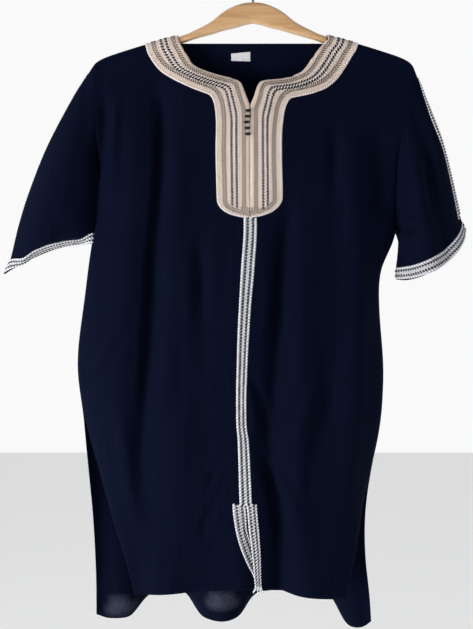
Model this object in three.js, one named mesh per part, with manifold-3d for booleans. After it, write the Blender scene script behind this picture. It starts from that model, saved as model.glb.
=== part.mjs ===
// A Moroccan kaftan of thin dark cloth, hanging on a wooden hanger.
// Units are millimetres, +Z is up, the front of the garment faces -Y, and the
// origin is the inside top of the hanger's hook, where a rail would carry it.

import * as THREE from 'three';
import { mergeVertices } from 'three/addons/utils/BufferGeometryUtils.js';
import Module from 'manifold-3d';

const wasm = await Module();
wasm.setup();

// ---------------------------------------------------------------- driving sizes

const CLOTH = 1.2;            // thickness of a cloth wall
const SEAM = 0.3;             // gap between two pieces that are sewn edge to edge
const LIFT = 0.9;             // gap between a panel and the braid that lies on it
const CUFF_LIFT = 1.2;        // the same round a cuff, where the cloth curls
const RIDGE = 8.3;            // radius of the cloth where it turns over the hanger
const DROP_STEP = 100;        // millimetres below the turn for each unit of drop
const SHOULDER_END = 231;     // reach of the shoulder seams to each side
const NECK_CORNER = { left: -108, right: 106 };  // where the neckline meets the shoulder seams
const BACK_NECK_Z = -119.5;   // height of the straight edge behind the neck

// The line of the shoulders over the hanger, and the hanger's own top and bottom.
const SHOULDER = [
  { x: 0, z: -102 }, { x: 60, z: -103 }, { x: 90, z: -106.6 }, { x: 105, z: -110.6 },
  { x: 150, z: -122.6 }, { x: 190, z: -135 },
  { x: 215, z: -143.5 }, { x: 225, z: -148.5 }, { x: 231, z: -156 },
];
const HANGER_ARM = [
  { x: 0, top: -62.8, bottom: -92 }, { x: 12, top: -63.8, bottom: -94.4 },
  { x: 23, top: -66.9, bottom: -98 }, { x: 36, top: -72.6, bottom: -101 },
  { x: 45, top: -78.4, bottom: -103.4 }, { x: 52, top: -84.1, bottom: -105.6 },
  { x: 59, top: -89.9, bottom: -107.7 }, { x: 71, top: -97, bottom: -111 },
  { x: 84, top: -103.4, bottom: -114.6 }, { x: 96, top: -109, bottom: -118.6 },
  { x: 111, top: -113.6, bottom: -123.4 }, { x: 190, top: -136.6, bottom: -146.8 },
  { x: 210, top: -143.2, bottom: -152.4 }, { x: 217, top: -147.2, bottom: -153 },
];

// Edges of the garment: the armhole above the underarm, the side below it.
const UNDERARM = { left: -345, right: -402 };
const SLIT_TOP = { left: -669, right: -722 };
const FRONT_EDGE = [
  { z: -157, left: -231, right: 231 }, { z: -232, left: -226, right: 216 },
  { z: -290, left: -225, right: 207 }, { z: -345, left: -226, right: 204.5 },
  { z: -400, left: -230, right: 207.5 }, { z: -420, left: -234.5, right: 189.5 },
  { z: -438, left: -236.5, right: 183.5 }, { z: -493, left: -243, right: 181.5 },
  { z: -536, left: -251, right: 184 }, { z: -594, left: -256, right: 189 },
  { z: -637, left: -248.5, right: 188 }, { z: -669, left: -241.5, right: 184.5 },
  { z: -722, left: -226, right: 173.6 }, { z: -778, left: -208.5, right: 159 },
  { z: -825, left: -193, right: 151 }, { z: -870, left: -178, right: 141 },
  { z: -912, left: -167, right: 128 },
];
const BACK_EDGE = [
  ...FRONT_EDGE.filter((row) => row.z >= -669),
  { z: -722, left: -238.5, right: 173.6 }, { z: -778, left: -232.5, right: 163 },
  { z: -825, left: -230, right: 160.4 }, { z: -868, left: -228.3, right: 161.8 },
  { z: -912, left: -226.4, right: 168 }, { z: -946, left: -226.2, right: 171 },
];

// Centre front seam, and the two free edges of the hem vent below it.
const VENT_TOP = -777;
const CENTRE = [
  { z: -215, x: -4.5 }, { z: -300, x: -4.7 }, { z: -377, x: -4.6 }, { z: -389, x: -4.4 },
  { z: -446, x: -7.8 }, { z: -503, x: -12 }, { z: -541, x: -14.2 }, { z: -579, x: -15.8 },
  { z: -635, x: -17.2 }, { z: -665, x: -17 }, { z: -691, x: -14.4 }, { z: -729, x: -12.8 },
  { z: -777, x: -11 },
];
const VENT_EDGE = [
  { z: -777, left: -11, right: -11, tuck: 0 }, { z: -790, left: -9.6, right: -9, tuck: 2 },
  { z: -814, left: -8.2, right: -7.2, tuck: 5.6 }, { z: -847, left: 2, right: -3, tuck: 8 },
  { z: -880, left: 15, right: 0.3, tuck: 8.5 }, { z: -900, left: 19, right: 2.5, tuck: 8.5 },
];

// Neckline and hems, seen from the front.
const NECKLINE = [
  { x: -108, z: -111 }, { x: -104, z: -123 }, { x: -92.9, z: -144.8 }, { x: -85.3, z: -157.4 },
  { x: -66.7, z: -165.6 }, { x: -44.9, z: -172.4 }, { x: -25, z: -177 }, { x: -17.4, z: -180 },
  { x: -13.1, z: -193 }, { x: -4.5, z: -217 }, { x: 2.2, z: -199.5 }, { x: 5.5, z: -185.4 },
  { x: 9.9, z: -180 }, { x: 42.7, z: -176.5 }, { x: 69, z: -166.6 }, { x: 82.1, z: -149.2 },
  { x: 95.3, z: -127.3 }, { x: 103.5, z: -117 }, { x: 106, z: -111 },
];
const FRONT_HEM = [
  { x: -167, z: -909.5 }, { x: -144, z: -906 }, { x: -102, z: -902 }, { x: -40, z: -899.7 },
  { x: 12, z: -899.7 }, { x: 51, z: -904.6 }, { x: 99, z: -910 }, { x: 128, z: -915 },
];
const BACK_HEM = [
  { x: -225, z: -948 }, { x: -214, z: -955 }, { x: -178, z: -955 }, { x: -169, z: -950 },
  { x: -160, z: -932 }, { x: -95, z: -932 }, { x: -88, z: -950 }, { x: -76, z: -958 },
  { x: -45, z: -961 }, { x: -20, z: -958 }, { x: -9, z: -949 }, { x: 0, z: -933 },
  { x: 120, z: -935 }, { x: 128, z: -957 }, { x: 138, z: -969 }, { x: 160, z: -969 },
  { x: 171, z: -958 },
];

// How far the chest and the back stand out from the line of the hanger, by the
// distance below the shoulder.
const CHEST = [
  { down: 0, out: 0 }, { down: 30, out: 1.5 }, { down: 60, out: 6.5 }, { down: 85, out: 12 },
  { down: 115, out: 17 }, { down: 160, out: 22 }, { down: 250, out: 27 },
  { down: 400, out: 32 }, { down: 600, out: 36 }, { down: 810, out: 37 },
];
const SPINE = [
  { down: 0, out: 0 }, { down: 30, out: 2 }, { down: 80, out: 7 }, { down: 150, out: 12 },
  { down: 250, out: 17 }, { down: 450, out: 22 }, { down: 850, out: 24 },
];
const ARMHOLE_GAP = 9;        // half-opening that the armhole adds in its middle
const SIDE_ROUND = 3.4;       // how square the panels turn towards their side edges
const SIDE_TURN = 0.62;
const FRONT_HEM_GAP = 34;     // how far the free side edges of front and back part at the hem
const BACK_HEM_GAP = 3;
const HEM_LEVEL = -930;
const VENT_LAP = 20;          // how far the left half of the front lies behind the right at the vent
const FADE_START = 60;        // length of a fold at its full depth before it fades

// The large folds. out is positive on a ridge and negative in a trough, width is
// the half-width, and a fold rises from its first height to its full depth. square
// is 2 on a round fold, and more on one with a flat top and steep flanks.
const FRONT_FOLDS = [
  { out: -15, width: 17, square: 2, from: -150, full: -240, ebb: 0, route: [
    { z: -178, x: -137 }, { z: -226, x: -131 }, { z: -310, x: -131 }, { z: -381, x: -137 },
    { z: -437, x: -143 }, { z: -510, x: -144 }, { z: -580, x: -149 }, { z: -651, x: -156 },
    { z: -740, x: -160 }, { z: -810, x: -163 }, { z: -905, x: -160 }] },
  { out: 7, width: 24, square: 2, from: -180, full: -300, ebb: 0, route: [
    { z: -180, x: -184 }, { z: -400, x: -186 }, { z: -600, x: -196 }, { z: -905, x: -140 }] },
  { out: 6, width: 20, square: 2, from: -220, full: -330, ebb: 0, route: [
    { z: -220, x: -100 }, { z: -500, x: -103 }, { z: -905, x: -112 }] },
  { out: -6, width: 11, square: 2, from: -400, full: -460, ebb: -560, route: [
    { z: -400, x: -73 }, { z: -560, x: -74 }] },
  { out: -16, width: 14, square: 2, from: -330, full: -420, ebb: 0, route: [
    { z: -330, x: 55 }, { z: -395, x: 40 }, { z: -510, x: 36 }, { z: -580, x: 35 },
    { z: -627, x: 26 }, { z: -686, x: 20 }, { z: -721, x: 22 }, { z: -810, x: 33 },
    { z: -905, x: 38 }] },
  { out: 8, width: 20, square: 2, from: -360, full: -450, ebb: 0, route: [
    { z: -360, x: 78 }, { z: -600, x: 68 }, { z: -905, x: 76 }] },
  { out: -8, width: 12, square: 2, from: -540, full: -600, ebb: -760, route: [
    { z: -540, x: 110 }, { z: -634, x: 104 }, { z: -680, x: 96 }, { z: -760, x: 82 }] },
  { out: -5, width: 12, square: 2, from: -190, full: -260, ebb: -400, route: [
    { z: -190, x: 116 }, { z: -400, x: 117 }] },
  { out: 8, width: 20, square: 2, from: -240, full: -340, ebb: 0, route: [
    { z: -240, x: 146 }, { z: -600, x: 143 }, { z: -720, x: 134 }, { z: -905, x: 100 }] },
];
const BACK_FOLDS = [
  { out: 44, width: 38, square: 6, from: -560, full: -930, ebb: 0, route: [
    { z: -560, x: -112 }, { z: -930, x: -126 }] },
  { out: 42, width: 66, square: 8, from: -520, full: -930, ebb: 0, route: [
    { z: -520, x: 54 }, { z: -930, x: 63 }] },
  { out: -22, width: 26, square: 2, from: -600, full: -940, ebb: 0, route: [
    { z: -600, x: -190 }, { z: -940, x: -196 }] },
  { out: -24, width: 30, square: 2, from: -560, full: -940, ebb: 0, route: [
    { z: -560, x: -38 }, { z: -940, x: -45 }] },
  { out: -22, width: 20, square: 2, from: -600, full: -940, ebb: 0, route: [
    { z: -600, x: 140 }, { z: -940, x: 147 }] },
  { out: -9, width: 17, square: 2, from: -190, full: -320, ebb: -700, route: [
    { z: -190, x: -112 }, { z: -700, x: -60 }] },
  { out: -10, width: 18, square: 2, from: -200, full: -330, ebb: -720, route: [
    { z: -200, x: 96 }, { z: -720, x: 116 }] },
  { out: 6, width: 22, square: 2, from: -220, full: -360, ebb: -760, route: [
    { z: -220, x: 4 }, { z: -760, x: 8 }] },
];

// The neck band, station by station from the shoulder seam to the foot of the bib.
// A station with a drop crosses the turn of the shoulder, the others are heights.
const BAND_LEFT = [
  { innerX: -108, outerX: -156, drop: 0 }, { innerX: -107.4, outerX: -155.3, drop: 0.33 },
  { innerX: -106.6, outerX: -154.4, drop: 0.67 }, { innerX: -105.2, outerX: -153.2, drop: 1 },
  { innerX: -99, innerZ: -133, outerX: -147, outerZ: -146.5 },
  { innerX: -92.9, innerZ: -144.8, outerX: -140, outerZ: -157 },
  { innerX: -87.5, innerZ: -154, outerX: -131.5, outerZ: -166 },
  { innerX: -79, innerZ: -160.3, outerX: -120.5, outerZ: -173.5 },
  { innerX: -66.7, innerZ: -165.6, outerX: -107, outerZ: -181.5 },
  { innerX: -52, innerZ: -170.4, outerX: -90, outerZ: -190 },
  { innerX: -37, innerZ: -174.4, outerX: -73, outerZ: -197 },
  { innerX: -25, innerZ: -177.2, outerX: -62.2, outerZ: -201.5 },
  { innerX: -17.4, innerZ: -180.4, outerX: -57.6, outerZ: -208.5 },
  { innerX: -15.2, innerZ: -187.5, outerX: -55, outerZ: -218 },
  { innerX: -12, innerZ: -197, outerX: -53.6, outerZ: -230 },
  { innerX: -8.3, innerZ: -207, outerX: -52.8, outerZ: -243 },
  { innerX: -4.65, innerZ: -218, outerX: -53, outerZ: -257 },
  { innerX: -4.75, innerZ: -240, outerX: -53.4, outerZ: -274 },
  { innerX: -4.8, innerZ: -265, outerX: -53.2, outerZ: -296 },
  { innerX: -4.85, innerZ: -292, outerX: -52.6, outerZ: -318 },
  { innerX: -4.85, innerZ: -318, outerX: -52, outerZ: -339 },
  { innerX: -4.85, innerZ: -338, outerX: -51.4, outerZ: -353 },
  { innerX: -4.8, innerZ: -343, outerX: -48, outerZ: -361.5 },
  { innerX: -4.8, innerZ: -347, outerX: -41, outerZ: -368.3 },
  { innerX: -4.8, innerZ: -350, outerX: -31, outerZ: -373 },
  { innerX: -4.75, innerZ: -352.5, outerX: -18, outerZ: -376.2 },
  { innerX: -4.75, innerZ: -355, outerX: -4.75, outerZ: -377.6 },
];
const BAND_RIGHT = [
  { innerX: 106, outerX: 152, drop: 0 }, { innerX: 105.4, outerX: 151.3, drop: 0.33 },
  { innerX: 104.4, outerX: 150.4, drop: 0.67 }, { innerX: 102.8, outerX: 149, drop: 1 },
  { innerX: 95.3, innerZ: -127.5, outerX: 143, outerZ: -141.5 },
  { innerX: 88.5, innerZ: -138.8, outerX: 137, outerZ: -152 },
  { innerX: 82.1, innerZ: -149.4, outerX: 130.5, outerZ: -162.5 },
  { innerX: 75.5, innerZ: -159.5, outerX: 121.5, outerZ: -175.5 },
  { innerX: 67.5, innerZ: -167.4, outerX: 110, outerZ: -186.5 },
  { innerX: 55.5, innerZ: -172.6, outerX: 96.5, outerZ: -194.4 },
  { innerX: 42.7, innerZ: -176.6, outerX: 79, outerZ: -200.4 },
  { innerX: 26, innerZ: -178.6, outerX: 66, outerZ: -203.4 },
  { innerX: 9.9, innerZ: -180.2, outerX: 53.5, outerZ: -206.5 },
  { innerX: 5.5, innerZ: -186, outerX: 47, outerZ: -217 },
  { innerX: 3.2, innerZ: -196, outerX: 44, outerZ: -228 },
  { innerX: -0.2, innerZ: -207, outerX: 42.2, outerZ: -241 },
  { innerX: -4.35, innerZ: -218, outerX: 40.8, outerZ: -256 },
  { innerX: -4.45, innerZ: -240, outerX: 40.3, outerZ: -274 },
  { innerX: -4.5, innerZ: -265, outerX: 40.4, outerZ: -296 },
  { innerX: -4.55, innerZ: -292, outerX: 40.8, outerZ: -316 },
  { innerX: -4.55, innerZ: -318, outerX: 41.3, outerZ: -335 },
  { innerX: -4.55, innerZ: -338, outerX: 41.3, outerZ: -349 },
  { innerX: -4.5, innerZ: -343, outerX: 38, outerZ: -358 },
  { innerX: -4.5, innerZ: -347, outerX: 31, outerZ: -365.6 },
  { innerX: -4.5, innerZ: -350, outerX: 21, outerZ: -371.4 },
  { innerX: -4.45, innerZ: -352.5, outerX: 8.5, outerZ: -375.3 },
  { innerX: -4.45, innerZ: -355, outerX: -4.45, outerZ: -377.6 },
];
const BAND_BACK = [
  { innerX: -108, outerX: -156, drop: 0 }, { innerX: -107, outerX: -155.4, drop: 0.33 },
  { innerX: -105.5, outerX: -154.6, drop: 0.67 }, { innerX: -102, outerX: -153.4, drop: 0.98 },
  { innerX: -92, innerZ: -120, outerX: -146, outerZ: -147 },
  { innerX: -80, innerZ: -120, outerX: -130, outerZ: -157 },
  { innerX: -62, innerZ: -120, outerX: -104, outerZ: -162 },
  { innerX: -36, innerZ: -120, outerX: -62, outerZ: -164 },
  { innerX: 0, innerZ: -120, outerX: 0, outerZ: -165 },
  { innerX: 36, innerZ: -120, outerX: 62, outerZ: -164 },
  { innerX: 60, innerZ: -120, outerX: 102, outerZ: -162 },
  { innerX: 78, innerZ: -120, outerX: 127, outerZ: -157 },
  { innerX: 90, innerZ: -120, outerX: 142, outerZ: -146 },
  { innerX: 100, outerX: 149.4, drop: 0.98 }, { innerX: 103.5, outerX: 150.6, drop: 0.67 },
  { innerX: 105, outerX: 151.4, drop: 0.33 }, { innerX: 106, outerX: 152, drop: 0 },
];
// Height of the band's rows of braid above the cloth, from its inner edge outwards.
const BAND_RIBS = [
  { across: 0, height: 1.1 }, { across: 0.18, height: 1.7 }, { across: 0.33, height: 1.0 },
  { across: 0.45, height: 1.9 }, { across: 0.56, height: 1.9 }, { across: 0.68, height: 1.0 },
  { across: 0.84, height: 1.7 }, { across: 0.93, height: 1.1 }, { across: 1, height: 1.8 },
];
const STRIP_RIBS = [
  { across: 0, height: 1.2 }, { across: 0.27, height: 1.7 }, { across: 0.5, height: 1.1 },
  { across: 0.73, height: 1.7 }, { across: 1, height: 1.2 },
];
const FLAT_RIBS = [
  { across: 0, height: 1.2 }, { across: 0.33, height: 1.2 }, { across: 0.67, height: 1.2 },
  { across: 1, height: 1.2 },
];
// The overarm strip's rows, counted from the overarm down the front and the back.
const OVERARM_RIBS = [
  { row: 2, back: false, height: 1.2 }, { row: 1, back: false, height: 1.7 },
  { row: 0, back: false, height: 1.2 }, { row: 0, back: true, height: 1.2 },
  { row: 1, back: true, height: 1.7 }, { row: 2, back: true, height: 1.2 },
];
const STRIP_HALF = [
  { z: -380, half: 9.3 }, { z: -446, half: 9.4 }, { z: -503, half: 8.4 }, { z: -541, half: 8 },
  { z: -579, half: 7.4 }, { z: -665, half: 6.9 }, { z: -700, half: 7.8 }, { z: -777, half: 8.6 },
];
const STRIP = { top: -379.2, bottom: VENT_TOP - 1, rows: 19 };
const VENT_STRIPS = {
  left: [
    { z: -779, outer: -29.6, inner: -11.4 }, { z: -789, outer: -29, inner: -10 },
    { z: -800, outer: -27.6, inner: -9.4 }, { z: -814, outer: -25.4, inner: -8.6 },
    { z: -830, outer: -21.6, inner: -4.4 }, { z: -847, outer: -16, inner: 1.4 },
    { z: -865, outer: -8.4, inner: 9.3 }, { z: -882, outer: 0, inner: 15 },
    { z: -897, outer: 3.6, inner: 18 },
  ],
  right: [
    { z: -779, inner: -10.4, outer: 4.6 }, { z: -789, inner: -8.7, outer: 5 },
    { z: -800, inner: -7.9, outer: 6 }, { z: -814, inner: -6.7, outer: 7.4 },
    { z: -830, inner: -4.5, outer: 8.6 }, { z: -847, inner: -2.4, outer: 9.6 },
    { z: -865, inner: -0.4, outer: 10 }, { z: -882, inner: 1, outer: 10.2 },
    { z: -897, inner: 2.8, outer: 10.8 },
  ],
};

// The sleeves, ring by ring from the armhole to the cuff: the overarm, the seam
// under the arm, and how far front and back stand out. sag lets the edge hang.
const SLEEVE_LEFT = [
  { topX: -238, topY: 0, topZ: -166, underX: -229.5, underZ: -351, front: 17, back: 15, sag: 0 },
  { topX: -254, topY: 0, topZ: -191, underX: -230.6, underZ: -356, front: 24, back: 21, sag: 1 },
  { topX: -269, topY: 0, topZ: -218, underX: -231.5, underZ: -362, front: 28, back: 25, sag: 2 },
  { topX: -284, topY: 0, topZ: -247, underX: -232.3, underZ: -368, front: 31, back: 27, sag: 2 },
  { topX: -298, topY: 0, topZ: -276, underX: -233, underZ: -374, front: 32, back: 28, sag: 1 },
  { topX: -311, topY: 0, topZ: -305, underX: -233.6, underZ: -380, front: 33, back: 28, sag: 0 },
  { topX: -322, topY: 0, topZ: -334, underX: -234.2, underZ: -385, front: 33, back: 28, sag: -2 },
  { topX: -332, topY: 0, topZ: -365, underX: -234.8, underZ: -389, front: 32, back: 27, sag: -5 },
  { topX: -341, topY: 0, topZ: -398, underX: -235.3, underZ: -393, front: 30, back: 26, sag: -8 },
  { topX: -349, topY: 0, topZ: -436, underX: -236, underZ: -396, front: 28, back: 24, sag: -9 },
  { topX: -354, topY: 1, topZ: -446, underX: -236.3, underZ: -403.5, front: 24, back: 23, sag: -9 },
  { topX: -360, topY: 3, topZ: -455, underX: -236.5, underZ: -411, front: 16.5, back: 22, sag: -9 },
];
const SLEEVE_RIGHT = [
  { topX: 237.5, topY: -1, topZ: -172, underX: 210.5, underZ: -408, front: 17, back: 15, sag: 0 },
  { topX: 246.8, topY: -2, topZ: -197, underX: 210.5, underZ: -412, front: 25, back: 21, sag: 1 },
  { topX: 255.5, topY: -3, topZ: -219, underX: 210.3, underZ: -416, front: 30, back: 25, sag: 2 },
  { topX: 264.2, topY: -4, topZ: -244, underX: 210, underZ: -420, front: 33, back: 28, sag: 3 },
  { topX: 273, topY: -5, topZ: -270, underX: 209.5, underZ: -425, front: 35, back: 30, sag: 5 },
  { topX: 280, topY: -6, topZ: -295, underX: 209, underZ: -429, front: 36, back: 31, sag: 7 },
  { topX: 286, topY: -7, topZ: -320, underX: 208.5, underZ: -433, front: 36, back: 31, sag: 10 },
  { topX: 291.5, topY: -8, topZ: -345, underX: 208, underZ: -437, front: 36, back: 31, sag: 13 },
  { topX: 296, topY: -8, topZ: -368, underX: 207.2, underZ: -441, front: 35, back: 30, sag: 17 },
  { topX: 300, topY: -8, topZ: -381, underX: 206.6, underZ: -446, front: 34, back: 30, sag: 20 },
  { topX: 303, topY: -8, topZ: -388, underX: 206.2, underZ: -454.5, front: 33, back: 30, sag: 22 },
  { topX: 305.5, topY: -8, topZ: -395, underX: 207, underZ: -463, front: 32, back: 31, sag: 24 },
];
// Folds along the sleeves, at a fraction of the way from overarm to underarm.
const SLEEVE_FOLDS = {
  left: [
    { at: 0.8, out: -11, width: 0.13, front: true }, { at: 0.3, out: 4, width: 0.2, front: true },
    { at: 0.55, out: -7, width: 0.14, front: false },
  ],
  right: [
    { at: 0.3, out: -12, width: 0.11, front: true }, { at: 0.62, out: 9, width: 0.13, front: true },
    { at: 0.86, out: -9, width: 0.09, front: true }, { at: 0.5, out: -8, width: 0.14, front: false },
  ],
};
const SLEEVE_SKEW = { left: 1, right: 0.68 };      // under 1, a cuff sags most near the overarm
const SLEEVE_BACK_SAG = { left: -3, right: 3 };  // how much lower the back of a cuff hangs

const KNOTS = [
  { x: -7.4, z: -226 }, { x: -8.4, z: -234.4 }, { x: -9.3, z: -242.6 },
  { x: -8.4, z: -251.2 }, { x: -7.6, z: -259.6 },
];
const KNOT = { long: 4.3, thick: 1.9, high: 2.4 };
const LABEL = { left: -45, right: -16, top: -131, bottom: -144, thick: 0.6, gap: 0.5 };

// The hook's crook is an arc from its tip, measured past the top, to just short of
// the bottom, and then bends back to the middle of the hanger.
const HOOK = { wire: 2, radius: 22, centreZ: -20, tip: 118, short: 31.5, steps: 26 };
const HOOK_NECK = [{ x: 1.5, z: -46.5 }, { x: 0, z: -52 }, { x: 0, z: -62 }, { x: 0, z: -82 }];
const HOOK_HOLE = { radius: 2.35, bottom: -86 };
const WOOD = { half: 6.5, endHalf: 3.5, topRound: 5.5, bottomRound: 2.5 };

// ---------------------------------------------------------------- finishes

const finish = (color, roughness, metalness = 0) =>
  new THREE.MeshStandardMaterial({ color, roughness, metalness });

const navyCloth = () => finish(0x10162b, 0.9);
const creamBraid = () => finish(0xc8b8a4, 0.8);
const silverBraid = () => finish(0xb9b9bd, 0.7);
const knotThread = () => finish(0x14131a, 0.7);
const beechWood = () => finish(0xc99a63, 0.5);
const steel = () => finish(0xb8bcc2, 0.25, 1);
const labelTape = () => finish(0xdedede, 0.8);

// ---------------------------------------------------------------- table reading

// Reads a column of a table at any place along its `by` column, on a smooth curve
// through the rows that never swings past them.
function read(table, by, column, at) {
  const up = table[table.length - 1][by] > table[0][by];
  const rows = up ? table : [...table].reverse();
  if (at <= rows[0][by]) return rows[0][column];
  if (at >= rows[rows.length - 1][by]) return rows[rows.length - 1][column];
  let i = 0;
  while (rows[i + 1][by] < at) i += 1;
  const slope = (k) => (rows[k + 1][column] - rows[k][column]) / (rows[k + 1][by] - rows[k][by]);
  const bend = (k) => {
    if (k === 0) return slope(0);
    if (k === rows.length - 1) return slope(k - 1);
    const before = slope(k - 1);
    const after = slope(k);
    return before * after <= 0 ? 0 : (2 * before * after) / (before + after);
  };
  const span = rows[i + 1][by] - rows[i][by];
  const s = (at - rows[i][by]) / span;
  const start = rows[i][column];
  const end = rows[i + 1][column];
  return start * (1 + 2 * s) * (1 - s) ** 2 + end * s * s * (3 - 2 * s)
    + bend(i) * span * s * (1 - s) ** 2 - bend(i + 1) * span * s * s * (1 - s);
}

const mix = (a, b, s) => a + (b - a) * s;
const clamp01 = (s) => Math.min(1, Math.max(0, s));
const soft = (s) => clamp01(s) ** 2 * (3 - 2 * clamp01(s));

// ---------------------------------------------------------------- the cloth's surfaces

const shoulderZ = (x) => read(SHOULDER, 'x', 'z', Math.abs(x));
const springZ = (x) => shoulderZ(x) - RIDGE;
const centreX = (z) => read(CENTRE, 'z', 'x', z);

// Drop along the cloth from the shoulder seam: 0 to 1 turns over the hanger, and
// each further unit is DROP_STEP straight down.
function dropAt(x, z) {
  const below = springZ(x) - z;
  if (below >= 0) return 1 + below / DROP_STEP;
  return Math.acos(clamp01(-below / RIDGE)) / (Math.PI / 2);
}

function heightAt(x, drop) {
  if (drop >= 1) return springZ(x) - (drop - 1) * DROP_STEP;
  return springZ(x) + RIDGE * Math.cos(drop * Math.PI / 2);
}

function foldDepth(folds, x, z) {
  let depth = 0;
  for (const fold of folds) {
    const off = (x - read(fold.route, 'z', 'x', z)) / fold.width;
    const grown = soft((fold.from - z) / (fold.from - fold.full));
    const fade = fold.full - FADE_START;
    const fading = fold.ebb ? 1 - soft((fade - z) / (fade - fold.ebb)) : 1;
    depth += fold.out * grown * fading * Math.exp(-(Math.abs(off) ** fold.square));
  }
  return depth;
}

// Half-opening of the garment at its side edge, at a height.
function edgeGap(side, z, atHem) {
  const springs = springZ(SHOULDER_END);
  const armhole = clamp01((springs - z) / (springs - UNDERARM[side]));
  const slit = soft((SLIT_TOP[side] - z) / (SLIT_TOP[side] - HEM_LEVEL));
  return RIDGE * (1 - armhole ** 2) + ARMHOLE_GAP * Math.sin(Math.PI * armhole) + atHem * slit;
}

// How far a panel stands out from the plane of the seams at a place.
function panelDepth(x, z, edges, profile, folds, hemGap) {
  const side = x < centreX(z) ? 'left' : 'right';
  const middle = centreX(Math.max(z, VENT_TOP));
  const edge = read(edges, 'z', side, z);
  const out = clamp01((x - middle) / (edge - middle));
  const down = Math.max(0, springZ(x) - z);
  const gap = edgeGap(side, z, hemGap);
  const crease = foldDepth(folds, x, z) * soft(down / FADE_START);
  const full = RIDGE + read(profile, 'down', 'out', down) + crease;
  return gap + (full - gap) * (1 - out ** SIDE_ROUND) ** SIDE_TURN;
}

function panelSurface(facing, edges, profile, folds, hemGap) {
  return (x, drop) => {
    const z = heightAt(x, drop);
    const depth = drop < 1
      ? RIDGE * Math.sin(drop * Math.PI / 2)
      : panelDepth(x, z, edges, profile, folds, hemGap);
    return new THREE.Vector3(x, facing * (SEAM / 2 + depth), z);
  };
}

const frontSurface = panelSurface(-1, FRONT_EDGE, CHEST, FRONT_FOLDS, FRONT_HEM_GAP);
const backSurface = panelSurface(1, BACK_EDGE, SPINE, BACK_FOLDS, BACK_HEM_GAP);

// The left half of the front dips behind the right half along the hem vent.
function leftFrontSurface(x, drop) {
  const point = frontSurface(x, drop);
  const tuck = read(VENT_EDGE, 'z', 'tuck', point.z);
  const reach = read(VENT_EDGE, 'z', 'right', point.z) - VENT_LAP;
  point.y += tuck * soft((x - reach) / VENT_LAP);
  return point;
}

function surfaceNormal(surface, facing, x, drop) {
  const nudge = 0.01;
  const across = surface(x + nudge, drop).sub(surface(x - nudge, drop));
  const along = surface(x, drop + nudge).sub(surface(x, Math.max(0, drop - nudge)));
  const normal = across.cross(along).normalize();
  const outwards = new THREE.Vector3(0, facing, 0.3);
  return normal.dot(outwards) < 0 ? normal.negate() : normal;
}

// ---------------------------------------------------------------- walls

// A wall between two offsets of a grid of points. Every entry of the grid holds a
// point, the wall's direction there, and how far the two faces lie from the point.
// The wall has no cell at an entry that is null, and its edges are closed all round.
function wall(rows, closedRing = false) {
  const across = rows[0].length;
  const layer = rows.length * across;
  const positions = [];
  for (const side of ['inside', 'outside']) {
    for (const spot of rows.flat()) {
      const p = spot ? spot.point.clone().addScaledVector(spot.normal, spot[side]) : new THREE.Vector3();
      positions.push(p.x, p.y, p.z);
    }
  }
  const faces = [];
  const edges = new Map();
  const edge = (a, b) => {
    if (!edges.delete(`${b} ${a}`)) edges.set(`${a} ${b}`, [a, b]);
  };
  const last = closedRing ? across : across - 1;
  for (let i = 0; i < rows.length - 1; i += 1) {
    for (let j = 0; j < last; j += 1) {
      const next = (j + 1) % across;
      const present = rows[i][j] && rows[i][next] && rows[i + 1][j] && rows[i + 1][next];
      if (present) {
        const a = i * across + j;
        const b = (i + 1) * across + j;
        const c = (i + 1) * across + next;
        const d = i * across + next;
        faces.push(a, c, b, a, d, c);
        faces.push(a + layer, b + layer, c + layer, a + layer, c + layer, d + layer);
        edge(a, b);
        edge(b, c);
        edge(c, d);
        edge(d, a);
      }
    }
  }
  for (const [a, b] of edges.values()) {
    faces.push(a, b, b + layer, a, b + layer, a + layer);
  }
  return facingOut(positions, faces);
}

function facingOut(positions, faces) {
  const geometry = new THREE.BufferGeometry();
  geometry.setAttribute('position', new THREE.Float32BufferAttribute(positions, 3));
  const corner = (k) => new THREE.Vector3().fromArray(positions, faces[k] * 3);
  let volume = 0;
  for (let k = 0; k < faces.length; k += 3) {
    volume += corner(k).dot(corner(k + 1).cross(corner(k + 2)));
  }
  if (volume < 0) {
    for (let k = 0; k < faces.length; k += 3) {
      [faces[k + 1], faces[k + 2]] = [faces[k + 2], faces[k + 1]];
    }
  }
  geometry.setIndex(faces);
  return geometry;
}

const clothSpot = (point, normal) =>
  ({ point, normal, inside: -CLOTH / 2, outside: CLOTH / 2 });

// Turns a wall's direction so that its edge face is square to a seam plane.
function squareTo(normal, axis) {
  normal[axis] = 0;
  return normal.normalize();
}

// ---------------------------------------------------------------- panels

// Drops of the rows between the shoulder seam and the level of the underarm, and
// the share of the way from there to the hem. The columns of a front panel are
// shares of the way from the centre front to the armhole, and one of them runs
// through the corner of the neckline.
const UPPER_DROPS = [0, 0.33, 0.67, 1, 1.15, 1.31, 1.48, 1.67, 1.9, 2.2, 2.55, 2.95, 3.38, 3.83];
const LOWER_SHARES = [0.08, 0.16, 0.24, 0.33, 0.42, 0.51, 0.6, 0.68, 0.76, 0.84, 0.92, 1];
const FRONT_SHARES = [
  0, 0.026, 0.05, 0.09, 0.14, 0.185, 0.23, 0.28, 0.335, 0.395, 0.469, 0.525, 0.58,
  0.635, 0.69, 0.745, 0.805, 0.865, 0.93, 0.98, 1,
];
const CORNER_COLUMN = 10;
const SETTLE = 6;             // passes that find a place on a slanting column

function frontSideX(side, z) {
  const seam = side === 'left' ? -SEAM / 2 : SEAM / 2;
  const inner = z > VENT_TOP ? centreX(z) : read(VENT_EDGE, 'z', side, z);
  return { inner: inner + seam, outer: read(FRONT_EDGE, 'z', side, z) - seam };
}

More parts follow.
